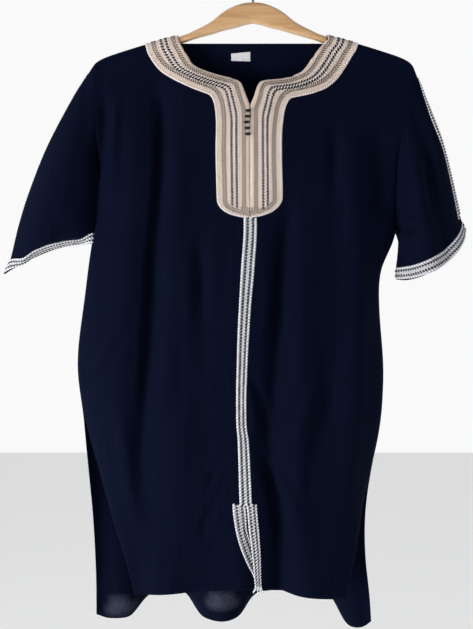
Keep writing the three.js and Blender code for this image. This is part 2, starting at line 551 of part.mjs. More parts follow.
function frontPanel(side) {
  const surface = side === 'left' ? leftFrontSurface : frontSurface;
  const corner = NECK_CORNER[side];
  const top = frontSideX(side, shoulderZ(SHOULDER_END));
  const cornerShare = (corner - top.inner) / (top.outer - top.inner);
  const shares = FRONT_SHARES.map((share, k) => (k === CORNER_COLUMN ? cornerShare : share));
  const lastDrop = UPPER_DROPS[UPPER_DROPS.length - 1];
  const columns = shares.map((share) => {
    const topX = mix(top.inner, top.outer, share);
    const beyond = Math.abs(topX) >= Math.abs(corner) - 0.01;
    const topDrop = beyond ? 0 : dropAt(topX, read(NECKLINE, 'x', 'z', topX));
    const splitZ = mix(UNDERARM.right, UNDERARM[side], share ** 2);
    const xAt = (z) => {
      const span = frontSideX(side, z);
      return mix(span.inner, span.outer, share);
    };
    const column = [];
    const place = (x, drop) => {
      const normal = surfaceNormal(surface, -1, x, drop);
      if (share === 0) squareTo(normal, 'x');
      column.push(clothSpot(surface(x, drop), normal));
    };
    const splitDrop = dropAt(xAt(splitZ), splitZ);
    for (const upper of UPPER_DROPS) {
      if (beyond || upper >= 1) {
        const start = beyond ? 0 : 1;
        const drop = mix(topDrop, splitDrop, (upper - start) / (lastDrop - start));
        let x = topX;
        for (let k = 0; k < SETTLE; k += 1) x = xAt(heightAt(x, drop));
        place(upper === start ? topX : x, drop);
      } else {
        column.push(null);
      }
    }
    for (const lower of LOWER_SHARES) {
      let z = splitZ;
      for (let k = 0; k < SETTLE; k += 1) z = mix(splitZ, read(FRONT_HEM, 'x', 'z', xAt(z)), lower);
      place(xAt(z), dropAt(xAt(z), z));
    }
    return column;
  });
  squareArmhole(columns[columns.length - 1]);
  return columns;
}

// Along an armhole the wall faces straight forward or back, so that the sleeve's
// wall can start in line with it. Below the underarm it faces sideways.
function squareArmhole(column) {
  const underarm = UPPER_DROPS.length - 1;
  column.forEach((spot, i) => {
    if (i < underarm) squareTo(spot.normal, 'x');
    else if (i === underarm) spot.normal.set(Math.sign(spot.point.x), 0, 0);
    else if (Math.abs(spot.point.y) < 1) squareTo(spot.normal, 'y');
    if (i === 0) spot.normal.set(0, 0, 1);
  });
}

const BACK_COLUMNS = 32;
const BACK_EDGE_SHARE = 0.012;  // an extra column close to each side of the back

function backPanel() {
  const edgeX = (z, share) =>
    mix(read(BACK_EDGE, 'z', 'left', z) + SEAM / 2, read(BACK_EDGE, 'z', 'right', z) - SEAM / 2, share);
  const shares = Array.from({ length: BACK_COLUMNS + 1 }, (_, k) => k / BACK_COLUMNS);
  for (const x of [NECK_CORNER.left, NECK_CORNER.right]) {
    const share = (x + SHOULDER_END) / (2 * SHOULDER_END);
    shares[Math.round(share * BACK_COLUMNS)] = share;
  }
  shares.splice(1, 0, BACK_EDGE_SHARE);
  shares.splice(shares.length - 1, 0, 1 - BACK_EDGE_SHARE);
  const lastDrop = UPPER_DROPS[UPPER_DROPS.length - 1];
  const columns = shares.map((share) => {
    const topX = edgeX(shoulderZ(SHOULDER_END), share);
    const beyond = topX < NECK_CORNER.left + 0.01 || topX > NECK_CORNER.right - 0.01;
    const topDrop = beyond ? 0 : dropAt(topX, BACK_NECK_Z);
    const splitZ = mix(UNDERARM.left, UNDERARM.right, soft(share));
    const column = [];
    const place = (x, drop) => {
      column.push(clothSpot(backSurface(x, drop), surfaceNormal(backSurface, 1, x, drop)));
    };
    const splitX = edgeX(splitZ, share);
    const splitDrop = dropAt(splitX, splitZ);
    for (const upper of UPPER_DROPS) {
      if (beyond || upper >= 1) {
        const start = beyond ? 0 : 1;
        const drop = mix(topDrop, splitDrop, (upper - start) / (lastDrop - start));
        let x = topX;
        for (let k = 0; k < SETTLE; k += 1) x = edgeX(heightAt(x, drop), share);
        place(upper === start ? topX : x, drop);
      } else {
        column.push(null);
      }
    }
    for (const lower of LOWER_SHARES) {
      let z = splitZ;
      for (let k = 0; k < SETTLE; k += 1) {
        z = mix(splitZ, read(BACK_HEM, 'x', 'z', edgeX(z, share)), lower);
      }
      const x = edgeX(z, share);
      place(x, dropAt(x, z));
    }
    return column;
  });
  squareArmhole(columns[0]);
  squareArmhole(columns[columns.length - 1]);
  return columns;
}

// ---------------------------------------------------------------- sleeves

const UNDERARM_CLEAR = 1.4;   // gap at the foot of the armhole, where two walls turn
const SLEEVE_SQUARE = 0.75;   // how square a ring turns at the overarm and underarm
const FOLD_RINGS = 4;         // rings over which a sleeve's folds rise

// The first ring starts a seam's gap outside the armhole edges of the panels. The
// others are drawn from the sleeve's table.
function sleeve(side, frontEdge, backEdge) {
  const outwards = side === 'left' ? -1 : 1;
  const table = side === 'left' ? SLEEVE_LEFT : SLEEVE_RIGHT;
  const underarm = UPPER_DROPS.length - 1;
  const start = (edge) => edge.slice(0, underarm + 1).map((spot, i) => {
    const clear = i === underarm ? UNDERARM_CLEAR : SEAM;
    const point = spot.point.clone();
    point.x += outwards * clear;
    const normal = i === underarm ? new THREE.Vector3(0, 0, -1) : spot.normal.clone();
    return clothSpot(point, normal);
  });
  const front = start(frontEdge);
  const back = start(backEdge).reverse();
  const travelled = [0];
  for (let i = 1; i <= underarm; i += 1) {
    travelled.push(travelled[i - 1] + front[i].point.distanceTo(front[i - 1].point));
  }
  const share = (i) => travelled[i] / travelled[underarm];
  const ringPoint = (row, i, isFront) => {
    const s = share(i);
    const place = table.indexOf(row);
    const turn = Math.sin(Math.PI * s) ** SLEEVE_SQUARE;
    const grown = soft((place + 1) / FOLD_RINGS);
    let out = isFront ? row.front : row.back;
    for (const fold of SLEEVE_FOLDS[side].filter((one) => one.front === isFront)) {
      out += fold.out * grown * Math.exp(-(((s - fold.at) / fold.width) ** 2));
    }
    const backSag = SLEEVE_BACK_SAG[side] * (place / (table.length - 1)) ** 2;
    const hang = Math.sin(Math.PI * s ** SLEEVE_SKEW[side]) ** SLEEVE_SQUARE;
    const sag = (isFront ? row.sag : row.sag + backSag) * hang;
    return new THREE.Vector3(
      mix(row.topX, row.underX, s),
      mix(row.topY, 0, s) + (isFront ? -1 : 1) * (SEAM / 2 + out * turn),
      mix(row.topZ, row.underZ, s) - sag,
    );
  };
  const rings = [[...front, ...back]];
  for (const row of table) {
    const ring = [];
    for (let i = 0; i <= underarm; i += 1) ring.push({ point: ringPoint(row, i, true) });
    for (let i = underarm; i >= 0; i -= 1) ring.push({ point: ringPoint(row, i, false) });
    rings.push(ring);
  }
  return ringNormals(rings);
}

function ringNormals(rings) {
  const count = rings[0].length;
  return rings.map((ring, k) => {
    if (k === 0) return ring;
    const centre = new THREE.Vector3();
    ring.forEach((spot) => centre.addScaledVector(spot.point, 1 / count));
    return ring.map((spot, j) => {
      const before = ring[(j + count - 1) % count].point;
      const after = ring[(j + 1) % count].point;
      const inner = rings[k - 1][j].point;
      const outer = rings[Math.min(k + 1, rings.length - 1)][j].point;
      const normal = after.clone().sub(before).cross(outer.clone().sub(inner)).normalize();
      const outwards = spot.point.clone().sub(centre);
      if (normal.dot(outwards) < 0) normal.negate();
      return clothSpot(spot.point, normal);
    });
  });
}

// ---------------------------------------------------------------- braid

const onTop = (point, normal, height, lift = LIFT) => ({
  point,
  normal,
  inside: CLOTH / 2 + lift,
  outside: CLOTH / 2 + lift + height,
});

// A band of braid on a panel: each station runs from the band's inner edge to its
// outer edge, and the ribs are the rows of braid between them.
function bandOnPanel(surface, facing, stations, ribs, squareCentre = false) {
  return stations.map((station) => ribs.map((rib) => {
    const x = mix(station.innerX, station.outerX, rib.across);
    const z = mix(station.innerZ, station.outerZ, rib.across);
    const drop = station.drop ?? dropAt(x, z);
    const normal = surfaceNormal(surface, facing, x, drop);
    if (station.drop === 0) normal.set(normal.x, 0, normal.z).normalize();
    if (squareCentre && Math.abs(x - centreX(z ?? 0)) < 0.5) squareTo(normal, 'x');
    return onTop(surface(x, drop), normal, rib.height);
  }));
}

function frontStrip() {
  const stations = [];
  for (let k = 0; k <= STRIP.rows; k += 1) {
    const z = mix(STRIP.top, STRIP.bottom, k / STRIP.rows);
    const half = read(STRIP_HALF, 'z', 'half', z);
    stations.push({ innerX: centreX(z) - half, outerX: centreX(z) + half, innerZ: z, outerZ: z });
  }
  return bandOnPanel(frontSurface, -1, stations, STRIP_RIBS);
}

function ventStrip(side) {
  const surface = side === 'left' ? leftFrontSurface : frontSurface;
  const stations = VENT_STRIPS[side].map((row) => ({
    innerX: row.inner, outerX: row.outer, innerZ: row.z, outerZ: row.z,
  }));
  return bandOnPanel(surface, -1, stations, STRIP_RIBS);
}

// Braid whose rows lie between two neighbouring lines of a sleeve's own points.
function braidBetween(lineA, lineB, ribs) {
  return ribs.map((rib) => lineA.map((spot, j) => {
    const other = lineB[j];
    const point = spot.point.clone().lerp(other.point, rib.across);
    const normal = spot.normal.clone().lerp(other.normal, rib.across).normalize();
    return onTop(point, normal, rib.height, CUFF_LIFT);
  }));
}

function cuffTrim(rings) {
  const [above, middle, edge] = rings.slice(-3);
  const upper = STRIP_RIBS.filter((rib) => rib.across <= 0.5);
  const lower = STRIP_RIBS.filter((rib) => rib.across > 0.5);
  return [
    ...braidBetween(above, middle, upper.map((rib) => ({ ...rib, across: rib.across * 2 }))),
    ...braidBetween(middle, edge, lower.map((rib) => ({ ...rib, across: rib.across * 2 - 1 }))),
  ];
}

// The strip on the overarm covers the rows of the sleeve next to its top, and lies
// close on the cloth from the armhole to just above the cuff's trim.
function overarmStrip(rings) {
  const last = rings[0].length - 1;
  return rings.slice(1, rings.length - 3).map((ring) => OVERARM_RIBS.map((rib) => {
    const spot = ring[rib.back ? last - rib.row : rib.row];
    return onTop(spot.point, spot.normal, rib.height, SEAM);
  }));
}

// ---------------------------------------------------------------- small pieces

// A round knot of thread that bridges the two halves of the band.
function knot(place) {
  const drop = dropAt(place.x, place.z);
  const normal = surfaceNormal(frontSurface, -1, place.x, drop);
  const seat = CLOTH / 2 + LIFT + BAND_RIBS[0].height + SEAM + KNOT.thick;
  const centre = frontSurface(place.x, drop).addScaledVector(normal, seat);
  const geometry = new THREE.SphereGeometry(1, 8, 6);
  geometry.scale(KNOT.long, KNOT.thick, KNOT.high);
  geometry.rotateX(Math.asin(normal.z));
  geometry.translate(centre.x, centre.y, centre.z);
  return geometry;
}

// The blank tape sewn inside the back of the neck.
function label() {
  const near = -(CLOTH / 2 + LABEL.gap);
  const rows = [0, 0.5, 1].map((down) => [0, 0.25, 0.5, 0.75, 1].map((across) => {
    const x = mix(LABEL.left, LABEL.right, across);
    const drop = dropAt(x, mix(LABEL.top, LABEL.bottom, down));
    return {
      point: backSurface(x, drop),
      normal: surfaceNormal(backSurface, 1, x, drop),
      inside: near - LABEL.thick,
      outside: near,
    };
  }));
  return wall(rows);
}

// ---------------------------------------------------------------- hanger

// Section of the wood at a place along its arm, as points around the outline.
function woodSection(x, top, bottom, half) {
  const points = [];
  const corner = (cy, cz, radius, from) => {
    for (let k = 0; k <= 2; k += 1) {
      const angle = from + (k / 2) * (Math.PI / 2);
      points.push(new THREE.Vector3(x, cy + radius * Math.cos(angle), cz + radius * Math.sin(angle)));
    }
  };
  const topRound = Math.min(WOOD.topRound, 0.85 * half);
  const low = Math.min(WOOD.bottomRound, 0.85 * half);
  corner(half - topRound, top - topRound, topRound, 0);
  corner(-(half - topRound), top - topRound, topRound, Math.PI / 2);
  corner(-(half - low), bottom + low, low, Math.PI);
  corner(half - low, bottom + low, low, 1.5 * Math.PI);
  return points;
}

function loft(sections) {
  const count = sections[0].length;
  const positions = [];
  sections.forEach((section) => section.forEach((p) => positions.push(p.x, p.y, p.z)));
  const faces = [];
  for (let i = 0; i < sections.length - 1; i += 1) {
    for (let j = 0; j < count; j += 1) {
      const next = (j + 1) % count;
      const a = i * count + j;
      const b = i * count + next;
      faces.push(a, b, b + count, a, b + count, a + count);
    }
  }
  for (const end of [0, sections.length - 1]) {
    const centre = new THREE.Vector3();
    sections[end].forEach((p) => centre.addScaledVector(p, 1 / count));
    const hub = positions.length / 3;
    positions.push(centre.x, centre.y, centre.z);
    for (let j = 0; j < count; j += 1) {
      const a = end * count + j;
      const b = end * count + (j + 1) % count;
      if (end === 0) faces.push(hub, b, a);
      else faces.push(hub, a, b);
    }
  }
  return facingOut(positions, faces);
}

function toManifold(geometry) {
  const bare = geometry.clone();
  bare.deleteAttribute('normal');
  bare.deleteAttribute('uv');
  const merged = mergeVertices(bare, 1e-4);
  return new wasm.Manifold(new wasm.Mesh({
    numProp: 3,
    vertProperties: new Float32Array(merged.attributes.position.array),
    triVerts: new Uint32Array(merged.index.array),
  }));
}

function fromManifold(solid) {
  const mesh = solid.getMesh();
  const geometry = new THREE.BufferGeometry();
  geometry.setAttribute('position', new THREE.BufferAttribute(mesh.vertProperties, 3));
  geometry.setIndex(new THREE.BufferAttribute(mesh.triVerts, 1));
  return geometry;
}

function hangerWood() {
  const leftArm = [...HANGER_ARM].reverse().map((row) => ({ ...row, x: -row.x }));
  const end = HANGER_ARM[HANGER_ARM.length - 1].x;
  const sections = [...leftArm, ...HANGER_ARM.slice(1)].map((row) => {
    const half = Math.abs(row.x) === end ? WOOD.endHalf : WOOD.half;
    return woodSection(row.x, row.top, row.bottom, half);
  });
  const depth = HANGER_ARM[0].top - HOOK_HOLE.bottom + 4;
  const hole = new THREE.CylinderGeometry(HOOK_HOLE.radius, HOOK_HOLE.radius, depth, 16);
  hole.rotateX(Math.PI / 2);
  hole.translate(0, 0, HOOK_HOLE.bottom + depth / 2);
  return fromManifold(toManifold(loft(sections)).subtract(toManifold(hole)));
}

// The wire hook: a round crook whose inside top is the origin, then a bend back
// to the middle and a straight shank in the wood's hole.
function hangerHook() {
  const points = [];
  const arcPoints = 10;
  for (let k = 0; k <= arcPoints; k += 1) {
    const angle = THREE.MathUtils.degToRad(mix(90 + HOOK.tip, HOOK.short - 90, k / arcPoints));
    const x = HOOK.radius * Math.cos(angle);
    points.push(new THREE.Vector3(x, 0, HOOK.centreZ + HOOK.radius * Math.sin(angle)));
  }
  HOOK_NECK.forEach((row) => points.push(new THREE.Vector3(row.x, 0, row.z)));
  const extrudePath = new THREE.CatmullRomCurve3(points, false, 'centripetal');
  const round = new THREE.Shape();
  round.absarc(0, 0, HOOK.wire, 0, Math.PI * 2);
  const options = { steps: HOOK.steps, curveSegments: 4, bevelEnabled: false, extrudePath };
  return new THREE.ExtrudeGeometry(round, options);
}

// ---------------------------------------------------------------- the garment

const kaftan = new THREE.Group();

function add(name, geometry, material) {
  const mesh = new THREE.Mesh(geometry, material);
  mesh.name = name;
  kaftan.add(mesh);
}

const frontLeft = frontPanel('left');
const frontRight = frontPanel('right');
const back = backPanel();
const leftSleeve = sleeve('left', frontLeft[frontLeft.length - 1], back[0]);
const rightSleeve = sleeve('right', frontRight[frontRight.length - 1], back[back.length - 1]);

add('hanger_hook', hangerHook(), steel());
add('hanger_wood', hangerWood(), beechWood());
add('front_left', wall(frontLeft), navyCloth());
add('front_right', wall(frontRight), navyCloth());
add('back_panel', wall(back), navyCloth());
add('sleeve_left', wall(leftSleeve, true), navyCloth());
add('sleeve_right', wall(rightSleeve, true), navyCloth());
const bandLeft = bandOnPanel(leftFrontSurface, -1, BAND_LEFT, BAND_RIBS, true);
const bandRight = bandOnPanel(frontSurface, -1, BAND_RIGHT, BAND_RIBS, true);
add('neck_band_left', wall(bandLeft), creamBraid());
add('neck_band_right', wall(bandRight), creamBraid());
add('neck_band_back', wall(bandOnPanel(backSurface, 1, BAND_BACK, FLAT_RIBS)), creamBraid());
add('front_strip', wall(frontStrip()), silverBraid());
add('vent_strip_left', wall(ventStrip('left')), silverBraid());
add('vent_strip_right', wall(ventStrip('right')), silverBraid());
add('cuff_trim_left', wall(cuffTrim(leftSleeve), true), silverBraid());
add('cuff_trim_right', wall(cuffTrim(rightSleeve), true), silverBraid());
add('sleeve_strip_left', wall(overarmStrip(leftSleeve)), silverBraid());
add('sleeve_strip_right', wall(overarmStrip(rightSleeve)), silverBraid());
KNOTS.forEach((place, k) => add(`knot_${k + 1}`, knot(place), knotThread()));
add('label', label(), labelTape());

export default kaftan;
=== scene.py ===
import math

import bmesh
import bpy
import numpy as np
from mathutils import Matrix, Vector
from mathutils.bvhtree import BVHTree


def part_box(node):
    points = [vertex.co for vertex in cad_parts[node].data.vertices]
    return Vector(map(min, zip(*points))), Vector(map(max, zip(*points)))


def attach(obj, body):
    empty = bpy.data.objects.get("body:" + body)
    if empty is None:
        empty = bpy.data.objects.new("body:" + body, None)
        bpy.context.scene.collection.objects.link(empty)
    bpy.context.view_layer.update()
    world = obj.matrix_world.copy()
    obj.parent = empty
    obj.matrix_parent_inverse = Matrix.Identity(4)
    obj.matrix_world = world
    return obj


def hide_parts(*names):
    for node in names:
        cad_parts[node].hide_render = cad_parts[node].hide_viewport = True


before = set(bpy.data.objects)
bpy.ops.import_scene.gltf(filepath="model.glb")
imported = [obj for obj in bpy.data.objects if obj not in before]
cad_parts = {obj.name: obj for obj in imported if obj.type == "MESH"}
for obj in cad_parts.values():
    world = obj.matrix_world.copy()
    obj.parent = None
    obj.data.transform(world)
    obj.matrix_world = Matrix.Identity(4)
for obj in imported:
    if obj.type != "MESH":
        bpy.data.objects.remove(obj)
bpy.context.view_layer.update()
scene = bpy.context.scene

# ------------------------------------------------------------------ camera, light and floor
# A plain studio, bright behind the garment and dim in front of it, with a pale floor. The
# camera stands level and square to the garment. A large soft light stands on the left, and
# a weaker one on the right.

camera_data = bpy.data.cameras.new("photo_camera")
camera_data.sensor_fit = "VERTICAL"
camera_data.sensor_height = 36.0
camera_data.lens = 53.47
camera_data.dof.use_dof = False
camera = bpy.data.objects.new("photo_camera", camera_data)
camera.location = (-0.02384, -1.35, -0.51355)
camera.rotation_euler = (math.radians(90), 0, 0)
scene.collection.objects.link(camera)
scene.camera = camera
scene.view_settings.view_transform = "Standard"


def node(tree, kind, place, inputs=None, **settings):
    """Adds a node, sets its properties and its sockets, and links the sockets given as outputs."""
    made = tree.nodes.new(kind)
    made.location = place
    for key, value in settings.items():
        setattr(made, key, value)
    for key, value in (inputs or {}).items():
        if isinstance(value, bpy.types.NodeSocket):
            tree.links.new(value, made.inputs[key])
        else:
            made.inputs[key].default_value = value
    return made


def ramp(tree, place, factor, stops):
    made = node(tree, "ShaderNodeValToRGB", place, {"Fac": factor})
    while len(made.color_ramp.elements) < len(stops):
        made.color_ramp.elements.new(0.5)
    for element, (position, color) in zip(made.color_ramp.elements, stops):
        element.position = position
        element.color = (*color, 1)
    return made.outputs["Color"]


world = bpy.data.worlds.new("studio")
world.use_nodes = True
studio = world.node_tree
direction = node(studio, "ShaderNodeTexCoord", (-800, 0)).outputs["Generated"]
backwards = node(studio, "ShaderNodeVectorMath", (-600, 0), {
    0: direction, 1: (0, 1, 0.85)}, operation="DOT_PRODUCT")
wall = ramp(studio, (-400, 0), backwards.outputs["Value"], [
    (0.0, (0.24, 0.25, 0.27)), (0.6, (1.0, 1.0, 1.0))])
studio.links.new(wall, studio.nodes["Background"].inputs["Color"])
studio.nodes["Background"].inputs["Strength"].default_value = 0.95
scene.world = world
MIDDLE = (-0.02, 0.0, -0.5)


def area_light(name, place, size, power):
    data = bpy.data.lights.new(name, "AREA")
    data.shape = "RECTANGLE"
    data.size, data.size_y = size
    data.energy = power
    lamp = bpy.data.objects.new(name, data)
    lamp.location = place
    lamp.rotation_euler = (Vector(MIDDLE) - Vector(place)).to_track_quat("-Z", "Y").to_euler()
    scene.collection.objects.link(lamp)


area_light("key_light", (-1.7, -1.1, -0.85), (0.8, 1.1), 46)
area_light("side_light", (2.2, -0.9, -0.9), (0.7, 1.2), 9)

floor_mesh = bpy.data.meshes.new("floor")
floor_mesh.from_pydata([(-6, -6, 0), (6, -6, 0), (6, 6, 0), (-6, 6, 0)], [], [(0, 1, 2, 3)])
floor = bpy.data.objects.new("floor", floor_mesh)
floor.location = (0, 0, -1.6)
scene.collection.objects.link(floor)


def shader(name, color, roughness, **more):
    """A new material of one colour. It comes with its node tree and its main shader."""
    made = bpy.data.materials.new(name)
    made.use_nodes = True
    main = made.node_tree.nodes["Principled BSDF"]
    main.inputs["Base Color"].default_value = (*color, 1)
    main.inputs["Roughness"].default_value = roughness
    for socket, value in more.items():
        main.inputs[socket.replace("_", " ")].default_value = value
    return made, made.node_tree, main


floor_mesh.materials.append(shader("floor", (0.96, 0.96, 0.96), 0.9)[0])

# ------------------------------------------------------------------ wire hook
# A hanger's hook of 4 mm bright steel wire, bent round to a crook with a short
# neck, and pushed into a drilled hole in the middle of the wood.

CROOK = {"middle": -0.020, "radius": 0.022, "from": 208, "to": -58.5, "wire": 0.002}
# The bend from the crook to the neck: its foot, and how it leaves the crook and arrives there.
BEND_FOOT = np.array([0, 0, -0.054])
LEAVING, ARRIVING = 0.02, np.array([0, 0, -0.016])
SHANK_Z = (-0.058, -0.066, -0.074, -0.0815)
# How the wire's tip is rounded off, as shares of its radius.
TIP = np.array([0.45, 0.8, 0.96])


def linked(name, mesh):
    obj = bpy.data.objects.new(name, mesh)
    scene.collection.objects.link(obj)
    return obj


def finished(obj, slot, finish, *nodes):
    """Gives a piece its material, and puts it in the frame in place of the CAD's nodes."""
    obj.data.materials.clear()
    obj.data.materials.append(finish)
    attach(obj, "root")
    if nodes:
        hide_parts(*nodes)
    return obj


def grid_mesh(name, points, closed_rows=False, closed_columns=False, caps=False):
    """A mesh on a grid of points, smooth all over but for its flat caps."""
    rows, columns = points.shape[:2]
    last_row = rows if closed_rows else rows - 1
    last_column = columns if closed_columns else columns - 1
    faces = []
    for i in range(last_row):
        for j in range(last_column):
            k, n = (i + 1) % rows, (j + 1) % columns
            faces.append((i * columns + j, i * columns + n, k * columns + n, k * columns + j))
    if caps:
        faces.append(tuple(reversed(range(columns))))
        faces.append(tuple(range((rows - 1) * columns, rows * columns)))
    mesh = bpy.data.meshes.new(name)
    mesh.from_pydata(points.reshape(-1, 3).tolist(), [], faces)
    for polygon in mesh.polygons:
        polygon.use_smooth = len(polygon.vertices) == 4
    return mesh


def unit(vectors):
    return vectors / np.maximum(np.linalg.norm(vectors, axis=-1, keepdims=True), 1e-12)


def tube(name, path, radii, sides=14):
    """A closed round tube along a path, which may grow thinner towards its ends."""
    path = np.asarray(path, float)
    tangent = unit(np.gradient(path, axis=0))
    side = np.empty_like(path)
    side[0] = unit(np.cross(tangent[0], [0.31, 0.93, 0.18]))
    for k in range(1, len(path)):
        side[k] = unit(side[k - 1] - tangent[k] * np.dot(side[k - 1], tangent[k]))
    other = np.cross(tangent, side)
    turn = np.linspace(0, 2 * np.pi, sides, endpoint=False)[None, :, None]
    ring = side[:, None] * np.cos(turn) + other[:, None] * np.sin(turn)
    points = path[:, None] + ring * np.reshape(radii, (-1, 1, 1))
    return grid_mesh(name, points, closed_columns=True, caps=True)


def flowing(first, last, leaving, arriving, s):
    """A curve between two values that leaves and arrives at the slopes given."""
    return (first * (1 + 2 * s) * (1 - s) ** 2 + last * s * s * (3 - 2 * s)
            + leaving * s * (1 - s) ** 2 - arriving * s * s * (1 - s))


angles = np.radians(np.linspace(CROOK["from"], CROOK["to"], 64))
crook = np.stack([CROOK["radius"] * np.cos(angles), 0 * angles,
                  CROOK["middle"] + CROOK["radius"] * np.sin(angles)], -1)
bend = flowing(crook[-1], BEND_FOOT, unit(crook[-1] - crook[-2]) * LEAVING, ARRIVING,
               np.linspace(0, 1, 16)[1:, None])
wire = np.concatenate([crook, bend, [[0, 0, z] for z in SHANK_Z]])
radii = np.full(len(wire), CROOK["wire"])
radii[:len(TIP)] *= TIP
steel = shader("hook_steel", (0.62, 0.63, 0.64), 0.22, Metallic=1.0)[0]
finished(linked("hook", tube("hook", wire, radii)), "hook_steel", steel, "hanger_hook")

# ------------------------------------------------------------------ wooden hanger
# One piece of light wood, sawn to a shallow arch with a tall middle, its edges
# rounded over and clear lacquered, and drilled from above for the hook.

# One arm of the hanger in millimetres: place across, top edge and bottom edge.
HANGER_ARM = np.array([
    (0, -62.8, -92), (12, -63.8, -94.4), (23, -66.9, -98), (36, -72.6, -101),
    (45, -78.4, -103.4), (52, -84.1, -105.6), (59, -89.9, -107.7), (71, -97, -111),
    (84, -103.4, -114.6), (96, -109, -118.6), (111, -113.6, -123.4), (190, -136.6, -146.8),
    (210, -143.2, -152.4), (217, -147.2, -153)]) * 0.001
HALF_THICK, TIP_THINNER = 0.0065, 0.003
TOP_ROUND, BOTTOM_ROUND = 0.0055, 0.0025
DRILL_RADIUS = 0.00235


def glide(knots, values, at):
    """Reads a table at any place, on a smooth curve through its rows that stays between them."""
    knots, values, at = np.asarray(knots, float), np.asarray(values, float), np.asarray(at, float)
    wide = (...,) + (None,) * (values.ndim - 1)
    span = np.diff(knots)
    slope = np.diff(values, axis=0) / span[wide]
    before, after = slope[:-1], slope[1:]
    total = before + after
    bend = np.empty_like(values)
    bend[1:-1] = np.where(before * after > 0,
                          2 * before * after / np.where(total == 0, 1, total), 0)
    bend[0], bend[-1] = slope[0], slope[-1]
    k = np.clip(np.searchsorted(knots, at, side="right") - 1, 0, len(span) - 1)
    s = np.clip((at - knots[k]) / span[k], 0, 1)[wide]
    run = span[k][wide]
    return flowing(values[k], values[k + 1], bend[k] * run, bend[k + 1] * run, s)


def grown(value, start, full):
    """0 up to the start, 1 from where it is full, and the share of the way between them."""
    return np.clip((value - start) / (full - start), 0, 1)


reach = HANGER_ARM[-1, 0]
along = reach * np.sin(np.linspace(-1, 1, 181) * np.pi / 2)
tops, bottoms = glide(HANGER_ARM[:, 0], HANGER_ARM[:, 1:], np.abs(along)).T
half = HALF_THICK - TIP_THINNER * grown(np.abs(along) / reach, 0.93, 1) ** 2
half[[0, -1]] *= 0.4
high = np.minimum(TOP_ROUND, 0.85 * half)
low = np.minimum(BOTTOM_ROUND, 0.85 * half)
outline = []
for across, up, radius, first in (
        (1, 1, high, 0), (-1, 1, high, 90), (-1, -1, low, 180), (1, -1, low, 270)):
    for angle in np.radians(first + np.linspace(0, 90, 7)):
        centre = tops - radius if up > 0 else bottoms + radius
        outline.append(np.stack([along, across * (half - radius) + radius * math.cos(angle),
                                 centre + radius * math.sin(angle)], -1))
wood_mesh = grid_mesh("hanger", np.stack(outline, 1), closed_columns=True, caps=True)
wood_body = linked("hanger", wood_mesh)
drill_path = [(0, 0, -0.086), (0, 0, -0.07), (0, 0, -0.055)]
drill = linked("drill", tube("drill", drill_path, [DRILL_RADIUS] * 3, 24))


def settled(obj):
    """Works the modifiers of a piece into a plain mesh."""
    graph = bpy.context.evaluated_depsgraph_get()
    mesh = bpy.data.meshes.new_from_object(obj.evaluated_get(graph))
    mesh.name = obj.name
    obj.modifiers.clear()
    obj.data = mesh
    return obj


hole = wood_body.modifiers.new("hole", "BOOLEAN")
hole.operation = "DIFFERENCE"
hole.object = drill
settled(wood_body)
bpy.data.objects.remove(drill)


def noise(tree, place, vector, scale, detail, roughness=0.5, distortion=0.0):
    return node(tree, "ShaderNodeTexNoise", place, {
        "Vector": vector, "Scale": scale, "Detail": detail, "Roughness": roughness,
        "Distortion": distortion}).outputs["Fac"]


def painted_and_dented(tree, main, color, height, strength, distance):
    """Gives a shader its colour, and dents its surface by a pattern."""
    tree.links.new(color, main.inputs["Base Color"])
    dent = node(tree, "ShaderNodeBump", (-300, -260), {
        "Height": height, "Strength": strength, "Distance": distance})
    tree.links.new(dent.outputs["Normal"], main.inputs["Normal"])


wood, tree, main = shader("hanger_wood", (0.5, 0.29, 0.13), 0.34,
                          Coat_Weight=0.35, Coat_Roughness=0.2)
place = node(tree, "ShaderNodeTexCoord", (-1100, 0)).outputs["Object"]
drawn = node(tree, "ShaderNodeMapping", (-900, 0), {"Vector": place, "Scale": (3.0, 60.0, 60.0)})
grain = noise(tree, (-700, 0), drawn.outputs["Vector"], 2.4, 7.0, 0.62, 0.5)
tone = ramp(tree, (-480, 0), grain, [
    (0.3, (0.43, 0.235, 0.1)), (0.48, (0.56, 0.335, 0.16)), (0.7, (0.66, 0.42, 0.22))])
painted_and_dented(tree, main, tone, grain, 0.25, 0.0004)
finished(wood_body, "hanger_wood", wood, "hanger_wood")

# ------------------------------------------------------------------ cloth
# Five pieces of thin dark plain-woven cloth: two fronts, one back and two sleeves, cut
# and sewn at the shoulders, armholes, sides and centre front, with turned hems.

# How often each piece's mesh is divided into finer faces.
CLOTH_LEVELS = {
    "front_left": 3, "front_right": 3, "back_panel": 2, "sleeve_left": 3, "sleeve_right": 3}
# The CAD's wall, and how far apart two lengths may be to count as the same.
WALL, SAME = 0.0012, 0.000002
CLOTH_THICK = 0.0005
# How far a seam is drawn in, and how much deeper the front's creases are than their table says.
SEAM_SUNK, FRONT_DEEPER = 0.0004, 1.35
# The seam allowances: how far each lies below the cloth's face, and how far it reaches on.
BODY_ALLOWANCE, SLEEVE_ALLOWANCE = (0.005, 0.0), (0.0022, 0.008)
# Where the sewn edges are: across, and between which heights.
ARMHOLE_X, UNDERARM_Z = 0.2325, {"left": -0.348, "right": -0.4045}
SIDE_SEAM_X, SIDE_SLIT_TOP = 0.107, {"left": -0.669, "right": -0.722}
CENTRE_SEAM_X, NECK_SLIT_FOOT, VENT_TOP = 0.03, -0.217, -0.777
# The top of the shoulders, as x and z, and the height over which the cloth turns on them.
SHOULDER = np.array([
    (0, -102), (60, -103), (90, -106.6), (105, -110.6), (150, -122.6), (190, -135),
    (215, -143.5), (225, -148.5), (231, -156)]) * 0.001
TURN = 0.0083


